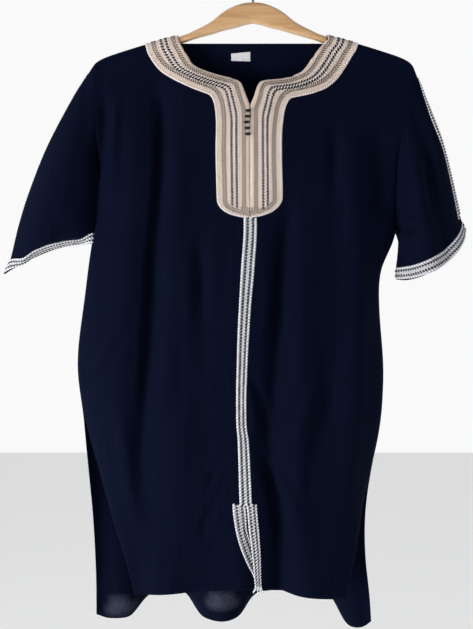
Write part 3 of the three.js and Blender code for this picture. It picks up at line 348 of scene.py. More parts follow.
def outer_skin(name):
    """The outer face of a cloth wall of the CAD, as quads in place of its triangles."""
    mesh = bmesh.new()
    mesh.from_mesh(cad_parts[name].data)
    bmesh.ops.remove_doubles(mesh, verts=mesh.verts, dist=SAME)
    exact = [edge for edge in mesh.edges if abs(edge.calc_length() - WALL) < SAME]
    ends = {vert for edge in exact for vert in edge.verts}
    through = [edge for edge in exact if any(
        vert in ends and vert not in edge.verts for face in edge.link_faces for vert in face.verts)]
    rim = dict.fromkeys(face for edge in through for face in edge.link_faces)
    bmesh.ops.delete(mesh, geom=list(rim), context="FACES")
    if name.startswith("sleeve"):
        between = [face for face in mesh.faces if all(vert.is_boundary for vert in face.verts)]
        bmesh.ops.delete(mesh, geom=between, context="FACES")
    islands, left = [], set(mesh.faces)
    while left:
        queue, island = [left.pop()], []
        while queue:
            face = queue.pop()
            island.append(face)
            near = {other for edge in face.edges for other in edge.link_faces} & left
            left -= near
            queue.extend(near)
        islands.append(island)
    islands.sort(key=lambda one: sum(abs(face.calc_center_median().y) for face in one) / len(one))
    kept = set(islands[-1])
    bmesh.ops.delete(mesh, geom=[face for face in mesh.faces if face not in kept], context="FACES")
    bmesh.ops.delete(mesh, geom=[v for v in mesh.verts if not v.link_faces], context="VERTS")

    def skew(face):
        a, b, c = sorted(edge.calc_length() for edge in face.edges)
        return abs(c * c - a * a - b * b) / (a * b)

    first = min(mesh.faces, key=skew)
    diagonal = {first: max(first.edges, key=lambda edge: edge.calc_length())}
    queue = [first]
    while queue:
        face = queue.pop()
        for edge in face.edges:
            for other in edge.link_faces:
                if other not in diagonal:
                    far = [v for v in edge.verts if v not in diagonal[face].verts]
                    diagonal[other] = edge if not far else next(
                        e for e in other.edges if e != edge and far[0] in e.verts)
                    queue.append(other)
    bmesh.ops.dissolve_edges(mesh, edges=list(dict.fromkeys(diagonal.values())), use_verts=False)
    skin = bpy.data.meshes.new(name)
    mesh.to_mesh(skin)
    mesh.free()
    return skin


def coordinates(mesh, kind="vertices", what="co"):
    flat = np.empty(len(getattr(mesh, kind)) * 3)
    getattr(mesh, kind).foreach_get(what, flat)
    return flat.reshape(-1, 3)


# The creases of each side: the route as x, z in millimetres, half-width, depth (negative
# for a trough), and the lengths over which it fades in and out.
CREASES = {
    "front": [
        (8, -5.0, 60, 90, [(-217, -180), (-212, -220), (-216, -265), (-225, -310), (-236, -372)]),
        (6, 2.4, 60, 90, [(-196, -190), (-197, -260), (-201, -330), (-210, -390)]),
        (7, -3.4, 70, 130, [(-136, -180), (-130, -230), (-131, -300), (-135, -360), (-142, -440),
                            (-146, -520), (-153, -620), (-160, -740)]),
        (10, 2.6, 80, 150, [(-112, -220), (-110, -330), (-118, -430), (-122, -560), (-128, -700)]),
        (9, -3.2, 50, 70, [(-79, -390), (-76, -440), (-74, -500), (-70, -545)]),
        (6, -2.4, 26, 60, [(-226, -602), (-208, -584), (-188, -558), (-168, -526)]),
        (5, -1.8, 26, 50, [(-232, -566), (-214, -548), (-192, -520)]),
        (5, 1.6, 24, 46, [(-230, -584), (-210, -566), (-190, -540)]),
        (4, -1.5, 16, 34, [(-66, -527), (-52, -531), (-36, -534)]),
        (4, -1.8, 18, 40, [(-68, -644), (-56, -628), (-42, -612)]),
        (4.5, -2.4, 20, 46, [(-68, -762), (-56, -738), (-44, -724), (-31, -712)]),
        (4, 1.6, 20, 40, [(-60, -700), (-46, -682), (-34, -668)]),
        (6, -2.6, 30, 60, [(-78, -832), (-66, -800), (-50, -770), (-38, -748)]),
        (8, -3.4, 60, 50, [(52, -334), (48, -400), (38, -470), (33, -540), (26, -568)]),
        (6, -3.6, 40, 40, [(-6, -588), (8, -632), (16, -680), (18, -700)]),
        (7, -4.4, 40, 70, [(4, -704), (22, -742), (36, -800), (42, -850), (40, -880)]),
        (10, -3.0, 60, 90, [(108, -588), (94, -656), (80, -726), (80, -830)]),
        (8, 2.4, 50, 80, [(84, -610), (58, -680), (34, -728)]),
        (14, 2.8, 80, 160, [(140, -340), (150, -470), (148, -560), (136, -728), (120, -830)]),
        (8, -2.6, 60, 110, [(116, -225), (113, -330), (112, -400)]),
        (20, -7.0, 60, 50, [(176, -222), (180, -280), (181, -340), (178, -392)]),
        (3.5, -0.9, 12, 24, [(50, -322), (62, -322), (78, -324)]),
        (3.5, -0.8, 12, 24, [(52, -333), (66, -334), (80, -333)]),
        (7, 2.2, 50, 120, [(24, -720), (58, -790), (66, -870)]),
        (9, 2.4, 60, 120, [(-186, -640), (-176, -740), (-152, -860)]),
        (5, 2.0, 12, 20, [(208, -375), (216, -379), (240, -387)]),
        (4.5, -3.0, 12, 18, [(211, -388), (220, -392), (238, -399)]),
        (8, 2.2, 50, 60, [(218, -200), (226, -290), (230, -355)]),
        (9, -3.2, 50, 60, [(243, -215), (250, -290), (252, -360), (250, -400)]),
    ],
    "back": [
        (12, -4.0, 90, 160, [(-150, -190), (-120, -380), (-112, -560), (-118, -800)]),
        (10, 3.2, 80, 160, [(-90, -230), (-76, -430), (-70, -640)]),
        (11, -4.0, 90, 160, [(130, -200), (118, -400), (110, -600), (122, -820)]),
        (9, 2.8, 80, 150, [(60, -260), (48, -470), (40, -700)]),
        (9, -3.2, 70, 150, [(4, -240), (-6, -460), (-14, -660)]),
        (6, -2.4, 30, 60, [(-222, -610), (-200, -580), (-172, -545)]),
        (6, -2.2, 30, 60, [(168, -560), (148, -590), (124, -640)]),
        (12, 3.4, 80, 140, [(-184, -300), (-190, -480), (-200, -700)]),
        (12, 3.0, 80, 140, [(160, -330), (156, -480), (140, -700)]),
        (8, -3.0, 50, 70, [(-216, -190), (-214, -260), (-222, -330)]),
        (8, -3.0, 50, 80, [(196, -200), (186, -290), (188, -380)]),
    ],
}


def eased(s):
    return s * s * (3 - 2 * s)


def lengths_along(path):
    """How far along a path each of its points is."""
    return np.concatenate([[0], np.cumsum(np.linalg.norm(np.diff(path, axis=0), axis=1))])


def crease_depth(x, z, creases):
    """How far the creases push the cloth outwards at each place."""
    depth = np.zeros(len(x))
    spot = np.stack([x, z], -1)
    for half_width, out, fade_in, fade_out, route in creases:
        route = np.array(route) * 0.001
        lengths = lengths_along(route)
        fine = glide(lengths, route, np.linspace(0, lengths[-1], 40))
        near, place = np.full(len(x), 1e9), np.zeros(len(x))
        lengths = np.linspace(0, lengths[-1], 40)
        for a, b, first, last in zip(fine[:-1], fine[1:], lengths[:-1], lengths[1:]):
            t = np.clip(((spot - a) @ (b - a)) / ((b - a) @ (b - a)), 0, 1)
            gap = np.linalg.norm(spot - a - t[:, None] * (b - a), axis=1)
            closer = gap < near
            near[closer] = gap[closer]
            place[closer] = (first + t * (last - first))[closer]
        rise = grown(place, 0, fade_in * 0.001)
        fall = grown(lengths[-1] - place, 0, fade_out * 0.001)
        off = near / (half_width * 0.001)
        profile = np.exp(-off ** 2) - 0.28 * np.exp(-((off - 2.1) / 0.9) ** 2)
        depth += out * 0.001 * eased(rise) * eased(fall) * profile
    return depth


def unrest(x, z, seed):
    """The small unevenness of hanging cloth, longer along the drop than across it."""
    chance = np.random.default_rng(seed)
    total = np.zeros(len(x))
    for _ in range(26):
        across, along_drop = chance.uniform(20, 95), chance.uniform(-26, 26)
        total += np.sin(across * x + along_drop * z + chance.uniform(0, 6.28)) / across
    return total * 0.008


def sewn(name, x, z):
    """Whether an edge of the cloth is sewn to the next piece, and isn't a hem or a slit."""
    if name.startswith("sleeve"):
        return (np.abs(x) < ARMHOLE_X) & (z > UNDERARM_Z[name.removeprefix("sleeve_")])
    slit_top = np.where(x < 0, SIDE_SLIT_TOP["left"], SIDE_SLIT_TOP["right"])
    side = (np.abs(x) > SIDE_SEAM_X) & (z > slit_top)
    centre = (np.abs(x) < CENTRE_SEAM_X) & (z > VENT_TOP) & (z < NECK_SLIT_FOOT)
    return side | (centre & (name != "back_panel"))


def open_edges(mesh):
    """The edges that lie on one face only, as pairs of vertices."""
    count = {}
    for polygon in mesh.polygons:
        for edge in polygon.edge_keys:
            count[edge] = count.get(edge, 0) + 1
    return np.array([edge for edge, uses in count.items() if uses == 1])


def line_at(line, at):
    """Reads a table of two columns, place and value."""
    return glide(line[:, 0], line[:, 1], at)


def hang_line(x):
    """Height at which the cloth has turned over the hanger and starts to hang."""
    return line_at(SHOULDER, np.abs(x)) - TURN


# How the left sleeve lies close to the body: the heights and places across between which that
# grows, and how far the cloth then moves. The underarm lies further forward as well.
CLOSE_Z, CLOSE_X, CLOSE_BY = (-0.285, -0.315), (-0.275, -0.245), np.array([0.0056, 0, 0])
UNDERARM_LAID_Z, UNDERARM_BY = (-0.344, -0.374), np.array([0, -0.0042, 0])
# How the front of its cuff curls under: the places across between which that grows at both
# ends, the lower edge as x and z, and for each height above that edge, the height at which
# the cloth comes to lie and how far it is behind.
FRONT_Y = 0.001
CURL_GROWS, CURL_ENDS = (-0.352, -0.322), (-0.236, -0.256)
CUFF_FRONT = np.array([
    (-0.3606, -0.4563), (-0.3358, -0.4469), (-0.3107, -0.4278), (-0.2916, -0.4196),
    (-0.2489, -0.4087), (-0.2323, -0.4087)])
CURL_HEIGHT = np.array([
    (-0.01, -0.0035), (0, 0), (0.018, 0.0065), (0.028, 0.019), (0.045, 0.0445), (0.06, 0.06),
    (0.5, 0.5)])
CURL_DEPTH = np.array([
    (-0.01, 0.0145), (0, 0.0145), (0.010, 0.008), (0.018, 0.0), (0.028, -0.0025), (0.06, 0),
    (0.5, 0)])


def curled(points):
    """Lays the left sleeve against the body, and curls the front of its cuff under."""
    x, y, z = points.T
    across = grown(x, *CLOSE_X)[:, None]
    points = (points + grown(z, *CLOSE_Z)[:, None] * across * CLOSE_BY
              + grown(z, *UNDERARM_LAID_Z)[:, None] * across * UNDERARM_BY)
    high = z - line_at(CUFF_FRONT, x)
    share = eased(grown(x, *CURL_GROWS) * grown(x, *CURL_ENDS) * (y < FRONT_Y))
    points[:, 1] += share * line_at(CURL_DEPTH, high)
    points[:, 2] += share * (line_at(CURL_HEIGHT, high) - high)
    return points


# The thin places low on the back, where light from behind comes through, painted into the cloth's
# colour as lighter spots: middle, half-width, half-height.
BACKLIT_SPOTS = [(-0.1936, -0.9377, 0.025, 0.011), (-0.0448, -0.9320, 0.028, 0.014)]


def cloth_piece(name, levels):
    obj = linked(name + "_cloth", outer_skin(name))
    smooth = obj.modifiers.new("smooth", "SUBSURF")
    smooth.levels = smooth.render_levels = levels
    smooth.boundary_smooth = "PRESERVE_CORNERS"
    mesh = settled(obj).data
    points, normals = coordinates(mesh), coordinates(mesh, what="normal")
    x, y, z = points.T
    front = 1 / (1 + np.exp(normals[:, 1] / 0.12))
    depth = crease_depth(x, z, CREASES["front"]) * FRONT_DEEPER * front
    depth += crease_depth(x, z, CREASES["back"]) * (1 - front)
    depth += unrest(x, z, 5) * front + unrest(x, z, 9) * (1 - front)
    depth *= eased(grown(hang_line(x) - z, 0, 0.05))
    edges = open_edges(mesh)
    joined = edges[sewn(name, x[edges], z[edges]).all(1)]
    depth[np.unique(joined)] -= SEAM_SUNK
    points = points + normals * depth[:, None]
    # A mask of painted backlight, 1 in the middle of each thin spot, for the cloth's shader to mix
    # in a lighter colour there.
    painted_backlight = np.zeros(len(x))
    for middle_x, middle_z, wide, high in BACKLIT_SPOTS if name == "back_panel" else ():
        far = ((x - middle_x) / wide) ** 2 + ((z - middle_z) / high) ** 2
        painted_backlight = np.maximum(painted_backlight, np.clip(1.6 - 1.5 * far, 0, 1))
    mesh.attributes.new("painted_backlight", "FLOAT", "POINT").data.foreach_set("value", painted_backlight)
    if name == "sleeve_left":
        points = curled(points)
    mesh.vertices.foreach_set("co", points.ravel())
    mesh.update()
    return obj, joined


def turned_in(obj, joined, depth, reach):
    """Turns the sewn edges inwards as seam allowances, and gives the cloth its thickness."""
    mesh = bmesh.new()
    mesh.from_mesh(obj.data)
    mesh.verts.ensure_lookup_table()
    mesh.normal_update()
    pairs = {tuple(sorted(pair)) for pair in joined.tolist()}
    rim = [edge for edge in mesh.edges if tuple(sorted(v.index for v in edge.verts)) in pairs]
    inwards = {}
    for edge in rim:
        face = edge.link_faces[0]
        onwards = edge.calc_tangent(edge.link_loops[0])
        for v in edge.verts:
            inwards[tuple(v.co)] = v.normal * depth + onwards * reach
    copies = bmesh.ops.extrude_edge_only(mesh, edges=rim)["geom"]
    for v in copies:
        if isinstance(v, bmesh.types.BMVert):
            v.co -= inwards[tuple(v.co)]
    mesh.to_mesh(obj.data)
    mesh.free()
    thick = obj.modifiers.new("thick", "SOLIDIFY")
    thick.thickness = CLOTH_THICK
    thick.offset = -1
    settled(obj)
    for polygon in obj.data.polygons:
        polygon.use_smooth = True
    return obj


navy, tree, main = shader("navy_cloth", (0.0024, 0.0044, 0.015), 0.88,
                          Sheen_Weight=0.02, Sheen_Roughness=0.4)
main.inputs["Sheen Tint"].default_value = (0.3, 0.45, 1.0, 1)
main.inputs["Specular IOR Level"].default_value = 0.035
place = node(tree, "ShaderNodeTexCoord", (-1300, 0)).outputs["Object"]
yarns = [node(tree, "ShaderNodeTexWave", (-900, height), {
    "Vector": place, "Scale": 330.0, "Distortion": 0.6, "Detail": 1.0, "Detail Scale": 0.05},
    bands_direction=axis).outputs["Fac"] for axis, height in (("X", 200), ("Z", -80))]
weave = node(tree, "ShaderNodeMath", (-680, 80), {0: yarns[0], 1: yarns[1]}, operation="MULTIPLY")
drawn = node(tree, "ShaderNodeMapping", (-1100, -360), {
    "Vector": place, "Scale": (130.0, 60.0, 9.0)})
slub = noise(tree, (-900, -360), drawn.outputs["Vector"], 2.0, 4.0, 0.6)
tone = ramp(tree, (-620, -300), slub, [
    (0.3, (0.0013, 0.0026, 0.0104)), (0.7, (0.0019, 0.0037, 0.0140))])
# Painted backlight: in the thin spots the cloth's colour is mixed towards a light blue-grey, broken
# up by the open weave, standing for light from behind coming through; the cloth is really thinner
# there, the light is painted.
backlight_mask = node(tree, "ShaderNodeAttribute", (-900, 480), attribute_name="painted_backlight").outputs["Fac"]
open_weave = noise(tree, (-900, 640), place, 620.0, 2.0, 0.7)
light_through_weave = ramp(tree, (-700, 640), open_weave, [(0.35, (0.25, 0.25, 0.25)), (0.65, (1, 1, 1))])
share = node(tree, "ShaderNodeMath", (-500, 520), {0: backlight_mask, 1: light_through_weave}, operation="MULTIPLY")
shown = node(tree, "ShaderNodeMix", (-300, 200), {
    "Factor": share.outputs["Value"], 6: tone, 7: (0.05, 0.057, 0.085, 1)}, data_type="RGBA")
painted_and_dented(tree, main, shown.outputs[2], weave.outputs["Value"], 0.35, 0.0002)

cloths, skins = {}, {}
for name, levels in CLOTH_LEVELS.items():
    cloths[name], joined = cloth_piece(name, levels)
    skins[name] = BVHTree.FromPolygons(coordinates(cloths[name].data).tolist(),
                                       [tuple(p.vertices) for p in cloths[name].data.polygons])
    allowance = SLEEVE_ALLOWANCE if name.startswith("sleeve") else BODY_ALLOWANCE
    turned_in(cloths[name], joined, *allowance)
    finished(cloths[name], "navy_cloth", navy, name)

# ------------------------------------------------------------------ neck band and bib
# A wide cream braid, sewn down round the neck and on the chest as a bib: rows of plaited
# silk thread side by side, two of them brown herringbones and two of them black twists.

# Stations along the band in millimetres: x and z of its inner edge, and of its outer edge. Where
# it turns over the shoulder, x of the inner edge, the drop, and x of the outer edge.
BAND_FRONT = {
    "left": [
        (-105.2, -119.4, -153.2, -132), (-99, -133, -147, -146.5), (-92.9, -144.8, -140, -157),
        (-87.5, -154, -131.5, -166), (-79, -160.3, -120.5, -173.5), (-66.7, -165.6, -107, -181.5),
        (-52, -170.4, -90, -190), (-37, -174.4, -73, -197), (-25, -177.2, -62.2, -201.5),
        (-17.4, -180.4, -57.6, -208.5), (-15.2, -187.5, -55, -218), (-12, -197, -53.6, -230),
        (-8.3, -207, -52.8, -243), (-4.8, -218, -53, -257), (-4.8, -240, -53.4, -274),
        (-4.8, -265, -53.2, -296), (-4.8, -292, -52.6, -318), (-4.8, -318, -52, -339),
        (-4.8, -338, -51.4, -353), (-4.8, -343, -48, -361.5), (-4.8, -347, -41, -368.3),
        (-4.8, -350, -31, -373), (-4.8, -352.5, -18, -376.2), (-4.8, -355, -4.8, -377.6)],
    "right": [
        (102.8, -118.8, 149, -130.8), (95.3, -127.5, 143, -141.5), (88.5, -138.8, 137, -152),
        (82.1, -149.4, 130.5, -162.5), (75.5, -159.5, 121.5, -175.5), (67.5, -167.4, 110, -186.5),
        (55.5, -172.6, 96.5, -194.4), (42.7, -176.6, 79, -200.4), (26, -178.6, 66, -203.4),
        (9.9, -180.2, 53.5, -206.5), (5.5, -186, 47, -217), (3.2, -196, 44, -228),
        (-0.2, -207, 42.2, -241), (-4.4, -218, 40.8, -256), (-4.4, -240, 40.3, -274),
        (-4.4, -265, 40.4, -296), (-4.4, -292, 40.8, -316), (-4.4, -318, 41.3, -335),
        (-4.4, -338, 41.3, -349), (-4.4, -343, 38, -358), (-4.4, -347, 31, -365.6),
        (-4.4, -350, 21, -371.4), (-4.4, -352.5, 8.5, -375.3), (-4.4, -355, -4.4, -377.6)]}
BAND_BACK = [
    (-92, -120, -146, -147), (-80, -120, -130, -157), (-62, -120, -104, -162),
    (-36, -120, -62, -164), (0, -120, 0, -165), (36, -120, 62, -164), (60, -120, 102, -162),
    (78, -120, 127, -157), (90, -120, 142, -146)]
BAND_TURNS = {
    "left": [(-106.6, 0.67, -154.4), (-107.4, 0.33, -155.3), (-108, 0, -156), (-107, -0.33, -155.4),
             (-105.5, -0.67, -154.6), (-102, -0.98, -153.4)],
    "right": [(100, -0.98, 149.4), (103.5, -0.67, 150.6), (105, -0.33, 151.4), (106, 0, 152),
              (105.4, 0.33, 151.3), (104.4, 0.67, 150.4)]}
BAND_WIDTH = 48.9
ACROSS = 25
FINE = 6
# The station at which the bib's straight sides end and its foot begins to curve in.
BIB_SIDES = 18


def drop_at(x, z):
    """How far down the cloth a place is: 0 on the shoulder seam, 1 where the cloth starts to
    hang, and one more for each 100 mm below."""
    below = hang_line(x) - z
    turning = np.arccos(np.clip(-below / TURN, 0, 1)) / (np.pi / 2)
    return np.where(below >= 0, 1 + below * 10, turning)


def seat(x, drop):
    """Places on the cloth and its direction there. A negative drop is on the back."""
    shape = np.shape(x)
    spots, ups = [], []
    for px, down in zip(np.ravel(x), np.ravel(drop)):
        facing = -1 if down >= 0 else 1
        turn = min(abs(down), 1) * math.pi / 2
        out = Vector((0, facing * math.sin(turn), math.cos(turn)))
        middle = Vector((px, 0, float(hang_line(px)) - (max(abs(down), 1) - 1) * 0.1))
        names = ["front_left", "front_right"] if facing < 0 else ["back_panel"]
        if abs(down) < 1:
            names = ["front_left", "front_right", "back_panel"]
        hits = [skins[name].ray_cast(middle + out * 0.2, -out, 0.3) for name in names]
        hits = [hit for hit in hits if hit[0] is not None] or [
            skins[name].find_nearest(middle + out * 0.03) for name in names]
        place, up = min(hits, key=lambda hit: hit[3])[:2]
        spots.append(place)
        ups.append(up if up.dot(out) > 0 else -up)
    return np.array(spots).reshape(*shape, 3), np.array(ups).reshape(*shape, 3)


def calm(values, passes=2):
    """Evens out a row of points or directions, and leaves its two ends where they are."""
    for _ in range(passes):
        inner = (values[:-2] + 2 * values[1:-1] + values[2:]) / 4
        values = np.concatenate([values[:1], inner, values[-1:]])
    return values


def station(inner_x, inner_z, outer_x, outer_z, facing):
    x = np.linspace(inner_x, outer_x, ACROSS) * 0.001
    return x, drop_at(x, np.linspace(inner_z, outer_z, ACROSS) * 0.001) * facing


def turn_station(inner_x, drop, outer_x):
    return np.linspace(inner_x, outer_x, ACROSS) * 0.001, np.full(ACROSS, float(drop))


stations = [station(*row, 1) for row in reversed(BAND_FRONT["left"])]
stations += [turn_station(*row) for row in BAND_TURNS["left"]]
stations += [station(*row, -1) for row in BAND_BACK]
stations += [turn_station(*row) for row in BAND_TURNS["right"]]
stations += [station(*row, 1) for row in BAND_FRONT["right"]]
band_x = np.array([x for x, _ in stations])
band_drop = np.array([drop for _, drop in stations])
knots = np.arange(len(stations))
fine = np.linspace(0, knots[-1], knots[-1] * FINE + 1)
band_x, band_drop = glide(knots, band_x, fine), glide(knots, band_drop, fine)


def ribbon(name, spots, ups, heights, base=0.0002, ring=False):
    """A closed flat ribbon on the cloth, with the height of its face at each column."""
    top = spots + ups * np.reshape(heights, (1, -1, 1))
    bottom = spots + ups * base
    return grid_mesh(name, np.concatenate([top, bottom[:, ::-1]], 1), closed_rows=ring,
                     closed_columns=True, caps=not ring)


EDGE_HEIGHT = 0.0003


def rounded(columns, height, edge):
    """Face heights of a ribbon with rounded edges."""
    s = np.linspace(0, 1, columns)
    near = grown(np.minimum(s, 1 - s), 0, edge)
    return EDGE_HEIGHT + (height - EDGE_HEIGHT) * np.sqrt(1 - (1 - near) ** 2)


def stitch_tree():
    """Thread stitches along a line: small rounded strands at an even pitch, each turned by a
    slant from the line, with a little unevenness."""
    tree = bpy.data.node_groups.new("stitch_row", "GeometryNodeTree")
    face = tree.interface
    face.new_socket("Line", in_out="INPUT", socket_type="NodeSocketGeometry")
    for name in ("Pitch", "Length", "Width", "Height", "Slant", "Unevenness"):
        face.new_socket(name, in_out="INPUT", socket_type="NodeSocketFloat")
    face.new_socket("Seed", in_out="INPUT", socket_type="NodeSocketInt")
    face.new_socket("Thread", in_out="INPUT", socket_type="NodeSocketMaterial")
    face.new_socket("Stitches", in_out="OUTPUT", socket_type="NodeSocketGeometry")
    given = node(tree, "NodeGroupInput", (-900, 0)).outputs
    line = node(tree, "GeometryNodeMeshToCurve", (-700, 100), {"Mesh": given["Line"]})
    even = node(tree, "GeometryNodeResampleCurve", (-520, 100), {
        "Curve": line.outputs["Curve"], "Length": given["Pitch"]}, mode="LENGTH")
    tangent = node(tree, "GeometryNodeInputTangent", (-700, -160)).outputs["Tangent"]
    up = node(tree, "GeometryNodeInputNamedAttribute", (-700, -240), {"Name": "up"},
              data_type="FLOAT_VECTOR")
    axes = node(tree, "FunctionNodeAxesToRotation", (-520, -180), {
        "Primary Axis": up.outputs["Attribute"], "Secondary Axis": tangent},
        primary_axis="Z", secondary_axis="X")
    wobble = node(tree, "FunctionNodeRandomValue", (-520, -360), {
        2: -1.0, 3: 1.0, "Seed": given["Seed"]}, data_type="FLOAT")
    uneven = node(tree, "ShaderNodeMath", (-340, -360), {
        0: wobble.outputs[1], 1: given["Unevenness"]}, operation="MULTIPLY")
    angle = node(tree, "ShaderNodeMath", (-180, -300), {
        0: uneven.outputs["Value"], 1: given["Slant"]}, operation="ADD")
    slant = node(tree, "FunctionNodeAxisAngleToRotation", (-20, -300), {
        "Axis": (0, 0, 1), "Angle": angle.outputs["Value"]})
    turned = node(tree, "FunctionNodeRotateRotation", (140, -180), {
        "Rotation": axes.outputs["Rotation"], "Rotate By": slant.outputs["Rotation"]},
        rotation_space="LOCAL")
    size = node(tree, "ShaderNodeCombineXYZ", (-340, -520), {
        "X": given["Length"], "Y": given["Width"], "Z": given["Height"]})
    larger = node(tree, "ShaderNodeMath", (-180, -440), {
        0: uneven.outputs["Value"], 1: 1.0}, operation="ADD")
    grown = node(tree, "ShaderNodeVectorMath", (-20, -480), {
        0: size.outputs["Vector"], "Scale": larger.outputs["Value"]}, operation="SCALE")
    strand = node(tree, "GeometryNodeMeshUVSphere", (140, 60), {
        "Segments": 6, "Rings": 4, "Radius": 0.5})
    placed = node(tree, "GeometryNodeInstanceOnPoints", (320, 100), {
        "Points": even.outputs["Curve"], "Instance": strand.outputs["Mesh"],
        "Rotation": turned.outputs["Rotation"], "Scale": grown.outputs["Vector"]})
    real = node(tree, "GeometryNodeRealizeInstances", (500, 100), {
        "Geometry": placed.outputs["Instances"]})
    painted = node(tree, "GeometryNodeSetMaterial", (680, 100), {
        "Geometry": real.outputs["Geometry"], "Material": given["Thread"]})
    made = node(tree, "NodeGroupOutput", (860, 100))
    tree.links.new(painted.outputs["Geometry"], made.inputs["Stitches"])
    return tree


stitches = stitch_tree()


def stitch_row(name, path, ups, thread, pitch, length, width, height, slant=0.0, phase=0.0,
               lift=0.0, seed=1):
    """One row of stitches along a path. Sizes are millimetres, the slant is in degrees."""
    path = path + ups * lift * 0.001
    if phase:
        run = lengths_along(path)
        first = phase * pitch * 0.001
        at = np.concatenate([[first], run[run > first]])
        path = np.stack([np.interp(at, run, path[:, k]) for k in range(3)], -1)
        ups = np.stack([np.interp(at, run, ups[:, k]) for k in range(3)], -1)
    line = bpy.data.meshes.new(name)
    line.from_pydata(path.tolist(), [(k, k + 1) for k in range(len(path) - 1)], [])
    line.attributes.new("up", "FLOAT_VECTOR", "POINT").data.foreach_set("vector", unit(ups).ravel())
    obj = linked(name, line)
    row = obj.modifiers.new("stitches", "NODES")
    row.node_group = stitches
    values = {"Pitch": pitch * 0.001, "Length": length * 0.001, "Width": width * 0.001,
              "Height": height * 0.001, "Slant": math.radians(slant), "Unevenness": 0.08,
              "Seed": seed, "Thread": thread}
    for socket in stitches.interface.items_tree:
        if socket.in_out == "INPUT" and socket.name in values:
            row[socket.identifier] = values[socket.name]
    obj.update_tag()
    settled(obj)
    obj.data.shade_smooth()
    return obj


def sewn_together(name, rows, slot, thread, *nodes):
    """Joins rows of one thread into one piece."""
    mesh = bmesh.new()
    for row in rows:
        mesh.from_mesh(row.data)
        bpy.data.objects.remove(row)
    joined = bpy.data.meshes.new(name)
    mesh.to_mesh(joined)
    mesh.free()
    joined.shade_smooth()
    return finished(linked(name, joined), slot, thread, *nodes)


def silk(name, dark, light, roughness=0.6, sheen=0.3):
    """Thread or braid that varies softly between two tones, with a fine lay of fibres."""
    made, tree, main = shader(name, light, roughness, Sheen_Weight=sheen)
    main.inputs["Specular IOR Level"].default_value = 0.35
    place = node(tree, "ShaderNodeTexCoord", (-900, 0)).outputs["Object"]
    cloudy = noise(tree, (-700, 0), place, 420.0, 3.0, 0.6)
    fibres = noise(tree, (-700, -260), place, 1600.0, 2.0)
    tone = ramp(tree, (-480, 0), cloudy, [(0.32, dark), (0.68, light)])
    painted_and_dented(tree, main, tone, fibres, 0.5, 0.0002)
    return made


cream = silk("cream_braid", (0.52, 0.41, 0.34), (0.72, 0.59, 0.5))
brown = silk("brown_thread", (0.01, 0.007, 0.005), (0.026, 0.018, 0.012))
black = silk("black_thread", (0.003, 0.003, 0.004), (0.009, 0.009, 0.012), 0.8, 0.05)
pale = silk("pale_thread", (0.6, 0.55, 0.55), (0.8, 0.75, 0.75))

spots, ups = seat(band_x, band_drop)
ups = unit(calm(ups, 3))
spots = calm(spots, 1)
tape = linked("neck_band", ribbon("neck_band", spots, ups, rounded(ACROSS, 0.0010, 0.05)))
finished(tape, "cream_braid", cream, "neck_band_left", "neck_band_right", "neck_band_back")
foot_rows = (len(BAND_FRONT["left"]) - 1 - BIB_SIDES) * FINE


TAIL_ROWS = 8


def read_across(grid, column):
    """Reads a grid of values at a place between two of its columns."""
    a = min(int(column), grid.shape[1] - 2)
    return grid[:, a] + (grid[:, a + 1] - grid[:, a]) * (column - a)


def edge_path(inwards):
    """A line at a distance in millimetres inside the band's outer edge, right round the bib."""
    outer_x, outer_drop = band_x[:, -1], band_drop[:, -1]
    hanging = np.abs(outer_drop) >= 1
    z = hang_line(outer_x) - (np.maximum(np.abs(outer_drop), 1) - 1) * 0.1
    heading = unit(np.gradient(np.stack([outer_x, z], -1), axis=0))
    rows = np.arange(len(outer_x))
    foot = 1 - grown(np.minimum(rows, rows[::-1]), 0, foot_rows)
    offset = inwards * 0.001 * (1 - 0.5 * foot ** 0.7)
    back = np.where(outer_drop < 0, -1, 1)
    x = outer_x + heading[:, 1] * offset * back
    edge_z = z - heading[:, 0] * offset * back
    x = np.where(hanging, x, read_across(band_x, (ACROSS - 1) * (1 - inwards / BAND_WIDTH)))
    drop = np.where(hanging, np.maximum(drop_at(x, edge_z), 1) * back, outer_drop)
    return x, drop


def share_path(inwards, end):
    """A line at a share of the band's width, with straight ends down to a height on the bib."""
    column = (ACROSS - 1) * (1 - inwards / BAND_WIDTH)
    x = read_across(band_x, column)[foot_rows:-foot_rows]
    drop = read_across(band_drop, column)[foot_rows:-foot_rows]
    tails = [np.linspace(drop[tip], float(drop_at(x[tip], end * 0.001)), TAIL_ROWS + 1)[1:]
             for tip in (0, -1)]
    x = np.concatenate([np.full(TAIL_ROWS, x[0]), x, np.full(TAIL_ROWS, x[-1])])
    return x, np.concatenate([tails[0][::-1], drop, tails[1]])


def on_cloth(x, drop):
    spots, ups = seat(x, drop)
    return calm(spots, 3), unit(calm(ups, 6))


def herringbone(name, path, thread, pitch, width, seed):
    """Two rows of short slanting stitches that meet in points."""
    spots, ups = path
    side = unit(np.cross(ups, unit(np.gradient(spots, axis=0)))) * width * 0.00025
    return [stitch_row(name + mark, spots + side * way, ups, thread, pitch, width * 0.72, 1.5, 1.2,
                       slant=-way * 50, lift=1.1, seed=seed + way)
            for mark, way in (("_left", -1), ("_right", 1))]


